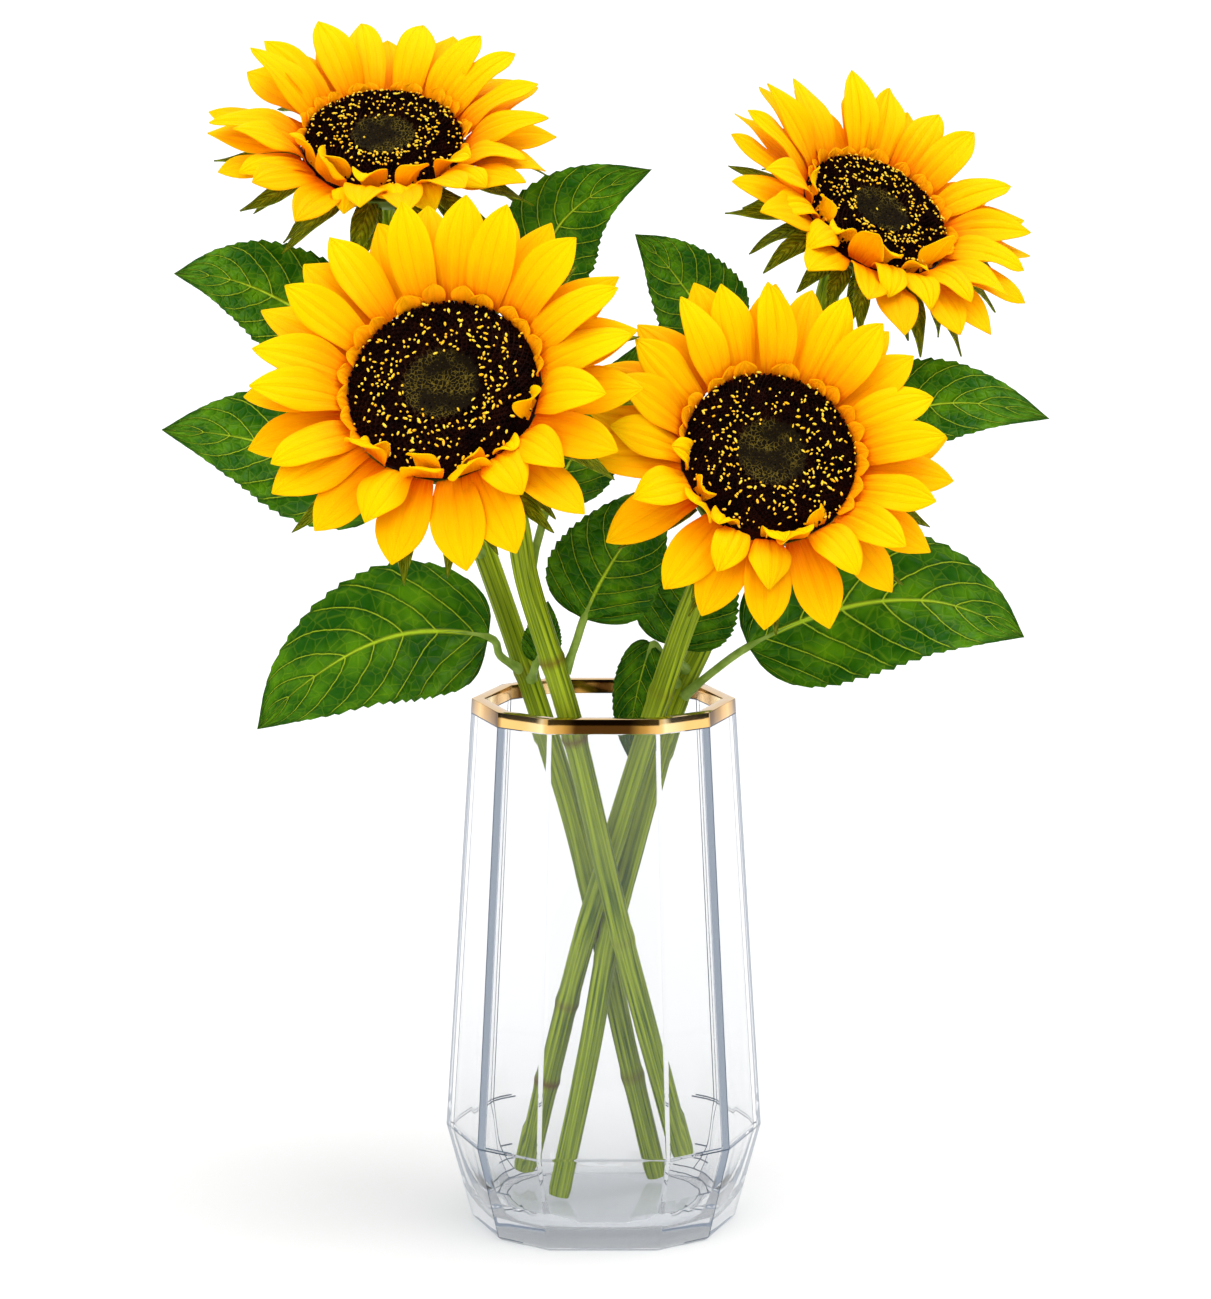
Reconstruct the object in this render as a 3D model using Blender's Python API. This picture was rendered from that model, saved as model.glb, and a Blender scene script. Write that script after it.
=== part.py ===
"""Four cut sunflowers in a faceted glass vase with a gold rim.

Lengths below are in millimetres and become metres through MM. +Z is up, -Y is the front, and the
origin is the middle of the vase's foot, on the table.
"""

import math

import bmesh
import bpy
from mathutils import Vector

for leftover in list(bpy.data.objects):
    bpy.data.objects.remove(leftover, do_unlink=True)

MM = 0.001
GAP = 0.3  # clearance between pieces that touch on the real thing

# ---- vase: ten facets, widest at a low knee, corners given as angles from the front
CORNER_ANGLES = (24.4, 51.8, 90.0, 128.2, 155.6, 204.4, 231.8, 270.0, 308.2, 335.6)
VASE_HEIGHT = 223.0
KNEE_HEIGHT = 41.0
FOOT_RADIUS = 55.2
KNEE_RADIUS = 66.2
MOUTH_RADIUS = 54.8
WALL = 5.0
FOOT_CHAMFER = 1.2
CAVITY_KNEE_HEIGHT = 41.5
# the cavity closes below its knee in rounded steps: height, share of its widest size
CAVITY_STEPS = ((18.0, 0.895), (12.5, 0.85), (9.5, 0.77), (8.0, 0.63))

# ---- gold rim: a thin cap over the lip
RIM_HEIGHT = 6.0
RIM_THICKNESS = 0.5

# ---- stems: centre line from the cut end up to the neck behind the flower head
STEM_RADIUS_LOW = 4.6
STEM_RADIUS_HIGH = 5.1
STEM_SIDES = 8
STEM_RINGS = 24
STEMS = {
    "back_left": (
        (23, 26, 10.5), (10, 17, 67.5), (-1.5, 13, 121.5), (-16, 12.5, 180.5),
        (-37, 23, 244), (-69, 46, 334), (-82, 60, 387),
    ),
    "front_left": (
        (33, 21.5, 22), (21, 8, 69.5), (9, -8, 118.5), (0, -19.5, 159),
        (-14, -36, 222), (-30, -49, 277), (-37, -56, 311),
    ),
    "front_right": (
        (-33, 23, 14.5), (-21, 13, 68.5), (-9.5, 3, 116), (1, -5, 153),
        (20.5, -20, 219), (38, -34, 273),
    ),
    "back_right": (
        (-19.5, -8, 10.5), (-6.5, -2.5, 71.5), (2, 2.5, 118.5), (11, 6, 153.5),
        (28, 13, 213), (42, 20, 244), (59, 31, 285), (80, 47, 342), (91, 56, 371),
    ),
}
NECK_STEPS = (42.0, 28.0)  # where the neck runs straight behind the head, back from the disc

# ---- flower heads: middle of the disc's rim, the way it faces, disc radius, reach of the rays,
#      turn of the rays, and how much further the rays reach on the far (upper) side
HEADS = {
    "back_left": ((-92, 50, 450.5), (0, -0.54, 0.84), 34.0, 74.0, 4.0, 0.02),
    "front_left": ((-63, -92, 363), (-0.16, -0.81, 0.56), 38.5, 80.0, 0.0, 0.06),
    "back_right": ((114, 40, 420.5), (0.43, -0.55, 0.72), 32.5, 72.0, 8.0, 0.05),
    "front_right": ((66, -74, 334), (0.18, -0.85, 0.50), 35.5, 74.0, 6.0, 0.04),
}
DISC_SIDES = 20
# disc outline from its back to the middle of its face: share of the radius, height
DISC_PROFILE = ((0.93, -6.0), (1.0, -3.6), (0.985, -0.6), (0.90, 2.6), (0.70, 4.6), (0.40, 3.6))
DISC_MIDDLE_HEIGHT = 2.4
RECEPTACLE_SIDES = 14
RECEPTACLE_PROFILE = ((0.99, -9.5), (0.82, -15.0), (0.50, -20.0), (0.29, -23.5), (0.19, -27.0))

# ---- rays and bracts, each row grown from a thin ring round the disc. Sizes are for the largest
#      head and shrink with the disc: full widths from the root outward, slopes in degrees at the
#      root and at the tip, and the height of the ring behind the front of the disc's rim
LARGEST_DISC = 38.5
RAY_RING = 1.4
RAY_THICKNESS = 0.8
OUTER_RAYS = 18
OUTER_WIDTHS = (9.0, 17.8, 15.5)
OUTER_SLOPES = (14.0, -6.0)
OUTER_HEIGHT = -3.6
INNER_RAYS = 18
INNER_WIDTHS = (8.5, 15.6, 15.0)
INNER_SLOPES = (44.0, 4.0)
INNER_HEIGHT = -1.5
INNER_TURN = 0.2
INNER_SHORTER = 0.97
BRACTS = 14
BRACT_RING = 1.6
BRACT_THICKNESS = 1.0
BRACT_LENGTH = 38.0
BRACT_WIDTHS = (10.0, 13.0, 10.0)
BRACT_SLOPES = (-8.0, -34.0)
BRACT_HEIGHT = -7.2

# ---- leaves: the stem that carries it, the height where its stalk leaves that stem, points of its
#      centre line (the first on the stalk, the second where the blade starts, the last its tip),
#      blade width, and the way its upper side faces
LEAVES = {
    "lower_left": ("back_left", 232, (
        (-43, 10, 239), (-48, 4, 248), (-76, -8, 252), (-100, -14, 246), (-125, -15, 230),
        (-143, -12, 212)), 62.0, (-0.15, -0.90, 0.40)),
    "mid_left": ("back_left", 279, (
        (-63, 14, 292), (-88, 4, 308), (-113, 0, 318), (-138, -3, 329), (-159, -6, 334),
        (-181, -8, 336)), 57.0, (0.0, -0.85, 0.52)),
    "upper_left": ("back_left", 344, (
        (-84, 31, 357), (-97, 24, 366), (-121, 16, 380), (-141, 12, 391), (-158, 8, 397),
        (-176, 4, 399)), 52.0, (0.0, -0.80, 0.60)),
    "top_centre": ("back_left", 353, (
        (-56, 55, 372), (-38, 53, 388), (-26, 51, 403), (-16, 49, 418), (-1, 46, 430),
        (20, 42, 439)), 46.0, (0.1, -0.90, 0.42)),
    "top_right": ("back_right", 338, (
        (62, 28, 352), (50, 22, 365), (42, 18, 379), (34, 14, 391), (24, 10, 404),
        (13, 6, 415)), 44.0, (0.2, -0.90, 0.38)),
    "right": ("back_right", 317, (
        (92, 26, 325), (110, 16, 333), (122, 10, 340), (139, 5, 345), (160, 1, 345),
        (183, -3, 340)), 44.0, (0.1, -0.85, 0.52)),
    "lower_right": ("back_right", 222, (
        (45, 4, 233), (60, -2, 245), (83, -8, 257), (109, -13, 265), (135, -16, 266),
        (156, -17, 260), (173, -15, 251)), 64.0, (0.15, -0.92, 0.36)),
    "centre": ("front_left", 239, (
        (-11, -37, 253), (-8, -35, 262), (-2, -32, 275), (6, -28, 288), (16, -23, 302),
        (28, -17, 315)), 48.0, (0.0, -0.93, 0.37)),
    "behind_right": ("back_right", 231, (
        (29, -1, 241), (28.5, -6, 246), (33, -8, 259), (38, -8, 271), (44, -7, 284),
        (50, -6, 297)), 44.0, (0.0, -0.97, 0.24)),
    "in_vase": ("back_right", 225, (
        (24, 1, 241), (20, -3.5, 246), (16, -6, 235), (13, -6, 222), (11, -6, 210),
        (10, -6, 199.5)), 22.0, (0.1, -0.99, 0.1)),
    "behind_left": ("front_left", 283, (
        (-26, -40, 297), (-22, -36, 310), (-14, -31, 325), (-4, -26, 340), (7, -21, 356),
        (17, -16, 374)), 38.0, (0.1, -0.93, 0.36)),
    "small": ("back_left", 227, (
        (-29, 8, 233), (-28, 6, 237), (-26, 5, 244), (-25, 5, 250), (-24, 5, 257),
        (-23, 5, 263)), 17.0, (0.0, -0.99, 0.15)),
}
BLADE_START = 2  # the blade starts at this point of the whole line, counted from the stem
STALK_CLEARANCE = 1.5  # from the stem's surface to the middle of the stalk's end
# the blade's width along its length s follows s**LEAF_ROUND * (1 - s)**LEAF_POINT
LEAF_ROUND = 0.5
LEAF_POINT = 1.05
LEAF_THICKNESS = 1.6
STALK_THICKNESS = 3.2
LEAF_RINGS = 12


# ------------------------------------------------------------------ materials
def material(name, colour, roughness=0.5, metallic=0.0, transmission=0.0):
    mat = bpy.data.materials.new(name)
    mat.use_nodes = True
    shader = mat.node_tree.nodes["Principled BSDF"]
    shader.inputs["Base Color"].default_value = (*colour, 1.0)
    shader.inputs["Roughness"].default_value = roughness
    shader.inputs["Metallic"].default_value = metallic
    shader.inputs["Transmission Weight"].default_value = transmission
    mat.diffuse_color = (*colour, 1.0)
    return mat


def glass_material():
    return material("vase_glass", (0.86, 0.89, 0.93), 0.03, transmission=1.0)


def gold_material(name):
    return material(name, (0.83, 0.50, 0.16), 0.18, metallic=1.0)


def stem_material(name):
    return material(name, (0.17, 0.24, 0.05), 0.55)


def leaf_material(name):
    return material(name, (0.04, 0.13, 0.006), 0.45)


def bract_material(name):
    return material(name, (0.09, 0.15, 0.004), 0.55)


def ray_material(name, orange):
    return material(name, (0.98, 0.50 - 0.08 * orange, 0.002), 0.5)


def disc_material(name):
    return material(name, (0.022, 0.010, 0.004), 0.7)


# ------------------------------------------------------------------ building blocks
def finish(name, bm, mat, smooth=True):
    """Makes the object of a bmesh held in millimetres, with every face turned outward."""
    bmesh.ops.remove_doubles(bm, verts=bm.verts, dist=1e-4)
    bmesh.ops.scale(bm, vec=(MM, MM, MM), verts=bm.verts)
    bmesh.ops.recalc_face_normals(bm, faces=bm.faces)
    for face in bm.faces:
        face.smooth = smooth
    mesh = bpy.data.meshes.new(name)
    bm.to_mesh(mesh)
    bm.free()
    mesh.materials.append(mat)
    obj = bpy.data.objects.new(name, mesh)
    bpy.context.scene.collection.objects.link(obj)
    return obj


def bridge(bm, lower, upper):
    """Quads between two rings of equally many vertices."""
    count = len(lower)
    for i in range(count):
        j = (i + 1) % count
        bm.faces.new((lower[i], lower[j], upper[j], upper[i]))


def add_ring(bm, points):
    return [bm.verts.new(p) for p in points]


def loft(bm, rings, closed=False):
    """Joins rings of points in order: capped at both ends, or closed into a loop."""
    made = [add_ring(bm, ring) for ring in rings]
    for lower, upper in zip(made, made[1:]):
        bridge(bm, lower, upper)
    if closed:
        bridge(bm, made[-1], made[0])
    else:
        bm.faces.new(list(reversed(made[0])))
        bm.faces.new(made[-1])


def curve_point(points, t):
    """Catmull-Rom curve through the points, t from 0 to 1."""
    spans = len(points) - 1
    position = min(max(t, 0.0), 1.0) * spans
    i = min(int(position), spans - 1)
    u = position - i
    p1, p2 = Vector(points[i]), Vector(points[i + 1])
    p0 = Vector(points[i - 1]) if i > 0 else 2 * p1 - p2
    p3 = Vector(points[i + 2]) if i + 2 <= spans else 2 * p2 - p1
    return 0.5 * (2 * p1 + (p2 - p0) * u + (2 * p0 - 5 * p1 + 4 * p2 - p3) * u * u
                  + (3 * p1 - p0 - 3 * p2 + p3) * u * u * u)


def curve_tangent(points, t, step=0.01):
    return (curve_point(points, t + step) - curve_point(points, t - step)).normalized()


def even_stations(points, count):
    """Values of t that space count stations evenly by length along the curve."""
    fine = 40 * len(points)
    samples = [curve_point(points, k / fine) for k in range(fine + 1)]
    travelled = [0.0]
    for before, after in zip(samples, samples[1:]):
        travelled.append(travelled[-1] + (after - before).length)
    stations, k = [], 0
    for i in range(count):
        wanted = travelled[-1] * i / (count - 1)
        while k < fine - 1 and travelled[k + 1] < wanted:
            k += 1
        span = travelled[k + 1] - travelled[k]
        stations.append((k + (wanted - travelled[k]) / span) / fine)
    return stations


# ------------------------------------------------------------------ vase
def outer_radius(z):
    """Radius of the vase's corners at this height."""
    if z <= KNEE_HEIGHT:
        return FOOT_RADIUS + (KNEE_RADIUS - FOOT_RADIUS) * z / KNEE_HEIGHT
    share = (z - KNEE_HEIGHT) / (VASE_HEIGHT - KNEE_HEIGHT)
    return KNEE_RADIUS + (MOUTH_RADIUS - KNEE_RADIUS) * share


def facet_ring(z, depth=0.0):
    """The ten corners at height z, moved inward so that each facet goes in by depth."""
    size = outer_radius(z)
    corners = [Vector((size * math.sin(math.radians(a)), -size * math.cos(math.radians(a))))
               for a in CORNER_ANGLES]
    normals = []
    for here, after in zip(corners, corners[1:] + corners[:1]):
        edge = (after - here).normalized()
        normals.append(Vector((-edge.y, edge.x)))
    ring = []
    for i, corner in enumerate(corners):
        a, b = normals[i - 1], normals[i]
        inward = (a + b) / (1.0 + a.dot(b))
        moved = corner + inward * depth
        ring.append(Vector((moved.x, moved.y, z)))
    return ring


def build_vase():
    lip = VASE_HEIGHT - RIM_THICKNESS - GAP
    shoulder = VASE_HEIGHT - RIM_HEIGHT - GAP
    recess = RIM_THICKNESS + GAP
    rings = [
        facet_ring(0.0, FOOT_CHAMFER),
        facet_ring(FOOT_CHAMFER),
        facet_ring(KNEE_HEIGHT),
        facet_ring(shoulder),
        facet_ring(shoulder, recess),
        facet_ring(lip, recess),
        facet_ring(lip, WALL - recess),
        facet_ring(shoulder, WALL - recess),
        facet_ring(shoulder, WALL),
        facet_ring(CAVITY_KNEE_HEIGHT, WALL),
    ]
    widest = rings[-1]
    for height, share in CAVITY_STEPS:
        rings.append([Vector((p.x * share, p.y * share, height)) for p in widest])
    bm = bmesh.new()
    loft(bm, rings)
    return finish("vase_glass", bm, glass_material(), smooth=False)


def build_rim():
    low, high = VASE_HEIGHT - RIM_HEIGHT, VASE_HEIGHT
    under = high - RIM_THICKNESS
    rings = [
        facet_ring(low), facet_ring(high), facet_ring(high, WALL), facet_ring(low, WALL),
        facet_ring(low, WALL - RIM_THICKNESS), facet_ring(under, WALL - RIM_THICKNESS),
        facet_ring(under, RIM_THICKNESS), facet_ring(low, RIM_THICKNESS),
    ]
    bm = bmesh.new()
    loft(bm, rings, closed=True)
    return finish("gold_rim", bm, gold_material("gold_rim"), smooth=False)


# ------------------------------------------------------------------ stems
def stem_line(name):
    """The stem's centre line, ending with the straight neck behind the head."""
    middle, facing = Vector(HEADS[name][0]), Vector(HEADS[name][1]).normalized()
    return list(STEMS[name]) + [tuple(middle - facing * step) for step in NECK_STEPS]


def stem_radius(t):
    return STEM_RADIUS_LOW + (STEM_RADIUS_HIGH - STEM_RADIUS_LOW) * t


def stem_at_height(name, height):
    """How far along its line a stem passes this height; every stem rises all the way."""
    line = stem_line(name)
    low, high = 0.0, 1.0
    for _ in range(30):
        middle = (low + high) / 2
        if curve_point(line, middle).z < height:
            low = middle
        else:
            high = middle
    return low


def build_stem(name):
    line = stem_line(name)
    rings = []
    side = Vector((1, 0, 0))
    for t in even_stations(line, STEM_RINGS):
        middle, along = curve_point(line, t), curve_tangent(line, t)
        side = (side - along * side.dot(along)).normalized()
        up = along.cross(side)
        radius = stem_radius(t)
        turn = 2 * math.pi / STEM_SIDES
        rings.append([middle + radius * (math.cos(turn * i) * side + math.sin(turn * i) * up)
                      for i in range(STEM_SIDES)])
    bm = bmesh.new()
    loft(bm, rings)
    return finish("stem_" + name, bm, stem_material("stem_" + name))


# ------------------------------------------------------------------ flower heads
class Head:
    """Local frame of a flower head: height runs along the way it faces, angle 0 to its right."""

    def __init__(self, name):
        middle, facing, self.radius, self.reach, self.turn, self.far = HEADS[name]
        self.name = name
        self.middle = Vector(middle)
        self.z = Vector(facing).normalized()
        self.x = Vector((0, 0, 1)).cross(self.z).normalized()
        self.y = self.z.cross(self.x)

    def at(self, angle, radius, height, sideways=0.0):
        out = math.cos(angle) * self.x + math.sin(angle) * self.y
        across = -math.sin(angle) * self.x + math.cos(angle) * self.y
        return self.middle + out * radius + across * sideways + self.z * height


def revolve(head, profile, sides, tip_height=None):
    """Rings round the head's axis, with a point in the middle of the last one if given."""
    bm = bmesh.new()
    rings = [add_ring(bm, [head.at(2 * math.pi * i / sides, r, z) for i in range(sides)])
             for r, z in profile]
    bm.faces.new(rings[0])
    for lower, upper in zip(rings, rings[1:]):
        bridge(bm, lower, upper)
    if tip_height is None:
        bm.faces.new(rings[-1])
    else:
        tip = bm.verts.new(head.at(0, 0, tip_height))
        for i in range(sides):
            bm.faces.new((rings[-1][i], rings[-1][(i + 1) % sides], tip))
    return bm


def build_disc(head):
    profile = [(share * head.radius, height) for share, height in DISC_PROFILE]
    bm = revolve(head, profile, DISC_SIDES, DISC_MIDDLE_HEIGHT)
    return finish("disc_" + head.name, bm, disc_material("disc_" + head.name))


def build_receptacle(head):
    top = DISC_PROFILE[0][1] - GAP
    profile = [(share * head.radius, height) for share, height in RECEPTACLE_PROFILE]
    bm = revolve(head, [(head.radius, top)] + profile, RECEPTACLE_SIDES)
    return finish("receptacle_" + head.name, bm, bract_material("receptacle_" + head.name))


def blade_row(head, name, mat, count, turn, root, ring, slopes, length, widths, across, thickness):
    """A row of pointed blades that grow from one thin ring, made as a single closed body.

    root is the ring's inner radius and its height, ring its width; slopes are in degrees at the
    root and at the tip; widths are full widths at the root and on the way out; the tip is a point.
    """
    bm = bmesh.new()
    inner_radius, height = root
    step = 2 * math.pi / count
    half = widths[0] / 2
    segments = len(widths)
    inner, outer = [], []
    for i in range(count):
        angle = turn + i * step
        shifts = [-half + 2 * half * k / (across - 1) for k in range(across)]
        near = [bm.verts.new(head.at(angle, inner_radius, height, s)) for s in shifts]
        row = [bm.verts.new(head.at(angle, inner_radius + ring, height, s)) for s in shifts]
        inner.append(near)
        outer.append(list(row))
        for k in range(across - 1):
            bm.faces.new((near[k], row[k], row[k + 1], near[k + 1]))
        reach = length * (1.0 + head.far * math.sin(angle))
        radius, z = inner_radius + ring, height
        for j in range(1, segments + 1):
            slope = math.radians(slopes[0] + (slopes[1] - slopes[0]) * (j - 0.5) / segments)
            radius += math.cos(slope) * reach / segments
            z += math.sin(slope) * reach / segments
            if j == segments:
                tip = bm.verts.new(head.at(angle, radius, z))
                for k in range(across - 1):
                    bm.faces.new((row[k], tip, row[k + 1]))
                break
            made = []
            for k in range(across):
                share = 2 * k / (across - 1) - 1
                lift = 0.16 * widths[j] / 2 * abs(share) if across > 2 else 0.0
                point = head.at(angle, radius, z + lift, share * widths[j] / 2)
                made.append(bm.verts.new(point))
            for k in range(across - 1):
                bm.faces.new((row[k], made[k], made[k + 1], row[k + 1]))
            row = made
    for i in range(count):
        j = (i + 1) % count
        bm.faces.new((inner[i][-1], outer[i][-1], outer[j][0], inner[j][0]))
    thicken(bm, head.z, thickness)
    return finish(name, bm, mat)


def thicken(bm, up, thickness):
    """Gives an open sheet its thickness: a second sheet below it and walls along its edges."""
    bm.normal_update()
    offsets = {}
    for vert in bm.verts:
        normal = Vector()
        for face in vert.link_faces:
            normal += face.normal if face.normal.dot(up) > 0 else -face.normal
        offsets[vert] = normal.normalized()
    faces = list(bm.faces)
    rims = [edge for edge in bm.edges if len(edge.link_faces) == 1]
    below = {v: bm.verts.new(v.co - n * thickness) for v, n in offsets.items()}
    for face in faces:
        bm.faces.new([below[v] for v in reversed(face.verts)])
    for edge in rims:
        a, b = edge.verts
        bm.faces.new((a, b, below[b], below[a]))


def build_rays(head):
    scale = head.radius / LARGEST_DISC
    reach = head.reach - head.radius
    turn = math.radians(head.turn)
    root = head.radius + 0.4
    outer, inner = "rays_outer_" + head.name, "rays_inner_" + head.name
    blade_row(head, outer, ray_material(outer, 1.0), OUTER_RAYS, turn, (root, OUTER_HEIGHT), RAY_RING,
              OUTER_SLOPES, reach, [w * scale for w in OUTER_WIDTHS], 2, RAY_THICKNESS)
    blade_row(head, inner, ray_material(inner, 0.0), INNER_RAYS, turn + INNER_TURN,
              (root, INNER_HEIGHT), RAY_RING, INNER_SLOPES, reach * INNER_SHORTER,
              [w * scale for w in INNER_WIDTHS], 3, RAY_THICKNESS)


def build_bracts(head):
    scale = head.radius / LARGEST_DISC
    name = "bracts_" + head.name
    blade_row(head, name, bract_material(name), BRACTS, math.radians(head.turn),
              (head.radius + 0.8, BRACT_HEIGHT), BRACT_RING, BRACT_SLOPES, BRACT_LENGTH * scale,
              [w * scale for w in BRACT_WIDTHS], 2, BRACT_THICKNESS)


# ------------------------------------------------------------------ leaves
def blade_width(share):
    """Width of a leaf blade along its length, as a share of its widest: round base, long point."""
    widest = LEAF_ROUND / (LEAF_ROUND + LEAF_POINT)
    share = min(max(share, 0.0), 1.0)
    return (share / widest) ** LEAF_ROUND * ((1 - share) / (1 - widest)) ** LEAF_POINT


def leaf_line(name):
    """A leaf's centre line, started on the surface of the stem that carries it."""
    stem, height, points = LEAVES[name][:3]
    line, t = stem_line(stem), stem_at_height(stem, height)
    middle, along = curve_point(line, t), curve_tangent(line, t)
    away = Vector(points[0]) - middle
    away = (away - along * away.dot(along)).normalized()
    start = middle + away * (stem_radius(t) + STALK_CLEARANCE)
    return [tuple(start)] + list(points)


def build_leaf(name):
    line = leaf_line(name)
    width, facing = LEAVES[name][3:]
    starts = BLADE_START / (len(line) - 1)
    face = Vector(facing).normalized()
    stations = [0.0, starts * 0.5, starts]
    stations += [starts + (1 - starts) * k / (LEAF_RINGS - 2) for k in range(1, LEAF_RINGS - 2)]
    rings = []
    for t in stations:
        middle, along = curve_point(line, t), curve_tangent(line, t, 0.08)
        across = along.cross(face).normalized()
        up = across.cross(along)
        share = (t - starts) / (1 - starts)
        half = STALK_THICKNESS / 2
        thick = STALK_THICKNESS / 2
        if share > 0:
            half = max(blade_width(share) * width / 2, half * (1 - share))
            thick = LEAF_THICKNESS / 2 + (thick - LEAF_THICKNESS / 2) * max(1 - 4 * share, 0)
        lift = 0.14 * half if share > 0 else 0.0
        rings.append([middle - across * half + up * lift, middle - up * thick,
                      middle + across * half + up * lift, middle + up * thick])
    bm = bmesh.new()
    made = [add_ring(bm, ring) for ring in rings]
    for lower, upper in zip(made, made[1:]):
        for edge in (0, 2):
            for rib in (1, 3):
                bm.faces.new((lower[edge], lower[rib], upper[rib]))
                bm.faces.new((lower[edge], upper[rib], upper[edge]))
    bm.faces.new(list(reversed(made[0])))
    tip = bm.verts.new(curve_point(line, 1.0) + curve_tangent(line, 1.0) * 1.5)
    for i in range(4):
        bm.faces.new((made[-1][i], made[-1][(i + 1) % 4], tip))
    return finish("leaf_" + name, bm, leaf_material("leaf_" + name))


# ------------------------------------------------------------------ the whole bunch
build_vase()
build_rim()
for flower in HEADS:
    build_stem(flower)
    flower_head = Head(flower)
    build_receptacle(flower_head)
    build_bracts(flower_head)
    build_rays(flower_head)
    build_disc(flower_head)
for leaf in LEAVES:
    build_leaf(leaf)
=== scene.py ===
# %% [markdown]
# # Sunflowers in a faceted glass vase
# Four cut sunflowers lean out of a heavy clear vase with a gold lip. The CAD model already holds every
# piece at its place, so this lesson keeps that frame and builds the fine pieces over it: petals with
# creases, leaves with veins, ribbed stems, discs full of tiny florets, and glass that bends light.
# Nothing here moves, so every piece rides on the one body, "root".

# %% The fixed frame
import math

import bmesh
import bpy
import numpy as np
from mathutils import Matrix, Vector


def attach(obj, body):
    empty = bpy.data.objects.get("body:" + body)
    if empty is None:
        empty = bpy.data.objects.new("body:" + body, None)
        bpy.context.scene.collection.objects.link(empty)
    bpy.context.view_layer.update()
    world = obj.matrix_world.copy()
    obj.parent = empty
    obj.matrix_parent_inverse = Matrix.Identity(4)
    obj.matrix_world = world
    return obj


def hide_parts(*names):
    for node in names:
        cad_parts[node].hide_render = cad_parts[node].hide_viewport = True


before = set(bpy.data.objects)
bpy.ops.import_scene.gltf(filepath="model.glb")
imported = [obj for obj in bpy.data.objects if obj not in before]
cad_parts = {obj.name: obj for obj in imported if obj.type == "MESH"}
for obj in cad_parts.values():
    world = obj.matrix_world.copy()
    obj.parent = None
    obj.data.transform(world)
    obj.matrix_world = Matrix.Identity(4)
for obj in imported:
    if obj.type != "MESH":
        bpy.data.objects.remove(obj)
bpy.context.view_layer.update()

MM = 0.001
print("CAD nodes:", len(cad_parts))

# %% [markdown]
# ## Small helpers for working as by hand
# Blender's operators act on whatever is selected, so each step first clears the selection and then
# picks what it works on.

# %% Selecting, applying and handing over


def pick(*objs):
    """Leaves only these objects selected, the first of them active."""
    if bpy.context.mode != "OBJECT":
        bpy.ops.object.mode_set(mode="OBJECT")
    bpy.ops.object.select_all(action="DESELECT")
    for obj in objs:
        obj.select_set(True)
    if objs:
        bpy.context.view_layer.objects.active = objs[0]


def apply_modifier(obj, kind, **settings):
    pick(obj)
    modifier = obj.modifiers.new(kind.lower(), kind)
    for key, value in settings.items():
        setattr(modifier, key, value)
    bpy.ops.object.modifier_apply(modifier=modifier.name)


def smooth(obj, degrees=None):
    pick(obj)
    if degrees is None:
        bpy.ops.object.shade_smooth()
    else:
        bpy.ops.object.shade_smooth_by_angle(angle=math.radians(degrees))


def store(obj, name, values):
    """Keeps one number per vertex in the mesh, for a finish to read."""
    obj.data.attributes.new(name, "FLOAT", "POINT").data.foreach_set("value", values)


def joined(name, objs):
    """One object from several, under this name."""
    pick(*objs)
    if len(objs) > 1:
        bpy.ops.object.join()
    whole = bpy.context.view_layer.objects.active
    whole.name = whole.data.name = name
    return whole


def hand_over(piece, material, slot, *nodes):
    """Gives a finished piece its material, unless it has its own, hangs it on the root body and hides the
    CAD nodes it stands for.
    """
    if material:
        piece.data.materials.clear()
        piece.data.materials.append(material)
    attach(piece, "root")
    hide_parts(*nodes)
    print(f"{piece.name}: {len(piece.data.polygons)} faces")


pick()

# %% [markdown]
# Most round pieces here are pulled up ring by ring: the cap of a solid is extruded and the new ring is
# put where it belongs. The ring's own numbers travel with its vertices through each extrude, so the
# helper always knows which vertex goes to which point.

# %% Pulling a shape up ring by ring


def start_ring(name, points, filled=True):
    """A ring of vertices on these points, in metres, ready to be extruded in edit mode."""
    pick()
    bpy.ops.mesh.primitive_circle_add(vertices=len(points), radius=0.01)
    obj = bpy.context.object
    obj.name = obj.data.name = name
    bpy.ops.object.mode_set(mode="EDIT")
    mesh = bmesh.from_edit_mesh(obj.data)
    mesh.verts.layers.int.new("place")
    place = mesh.verts.layers.int["place"]
    mesh.verts.ensure_lookup_table()
    for i, vert in enumerate(mesh.verts):
        vert[place] = i
        vert.co = points[i]
    bmesh.update_edit_mesh(obj.data)
    bpy.ops.mesh.select_all(action="SELECT")
    if filled:
        bpy.ops.mesh.edge_face_add()
    return obj


def pull_ring(obj, points):
    """Extrudes the selected ring or cap and puts the new ring on these points."""
    bpy.ops.mesh.extrude_region_move()
    mesh = bmesh.from_edit_mesh(obj.data)
    place = mesh.verts.layers.int["place"]
    for vert in mesh.verts:
        if vert.select:
            vert.co = points[vert[place]]
    bmesh.update_edit_mesh(obj.data)


def end_rings(obj, merge=0.0):
    """Leaves edit mode with every face turned outward."""
    bpy.ops.mesh.select_all(action="SELECT")
    if merge:
        bpy.ops.mesh.remove_doubles(threshold=merge)
    bpy.ops.mesh.normals_make_consistent(inside=False)
    bpy.ops.object.mode_set(mode="OBJECT")
    obj.data.attributes.remove(obj.data.attributes["place"])
    return obj


# %% [markdown]
# ## Node trees in a few words
# The finishes are all made from nodes. These helpers add a node, fill its inputs from numbers or from
# other sockets, and give it back.

# %% Node helpers


def new_finish(name, roughness):
    finish = bpy.data.materials.new(name)
    finish.use_nodes = True
    shader = finish.node_tree.nodes["Principled BSDF"]
    shader.inputs["Roughness"].default_value = roughness
    return finish, finish.node_tree, shader


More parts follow.
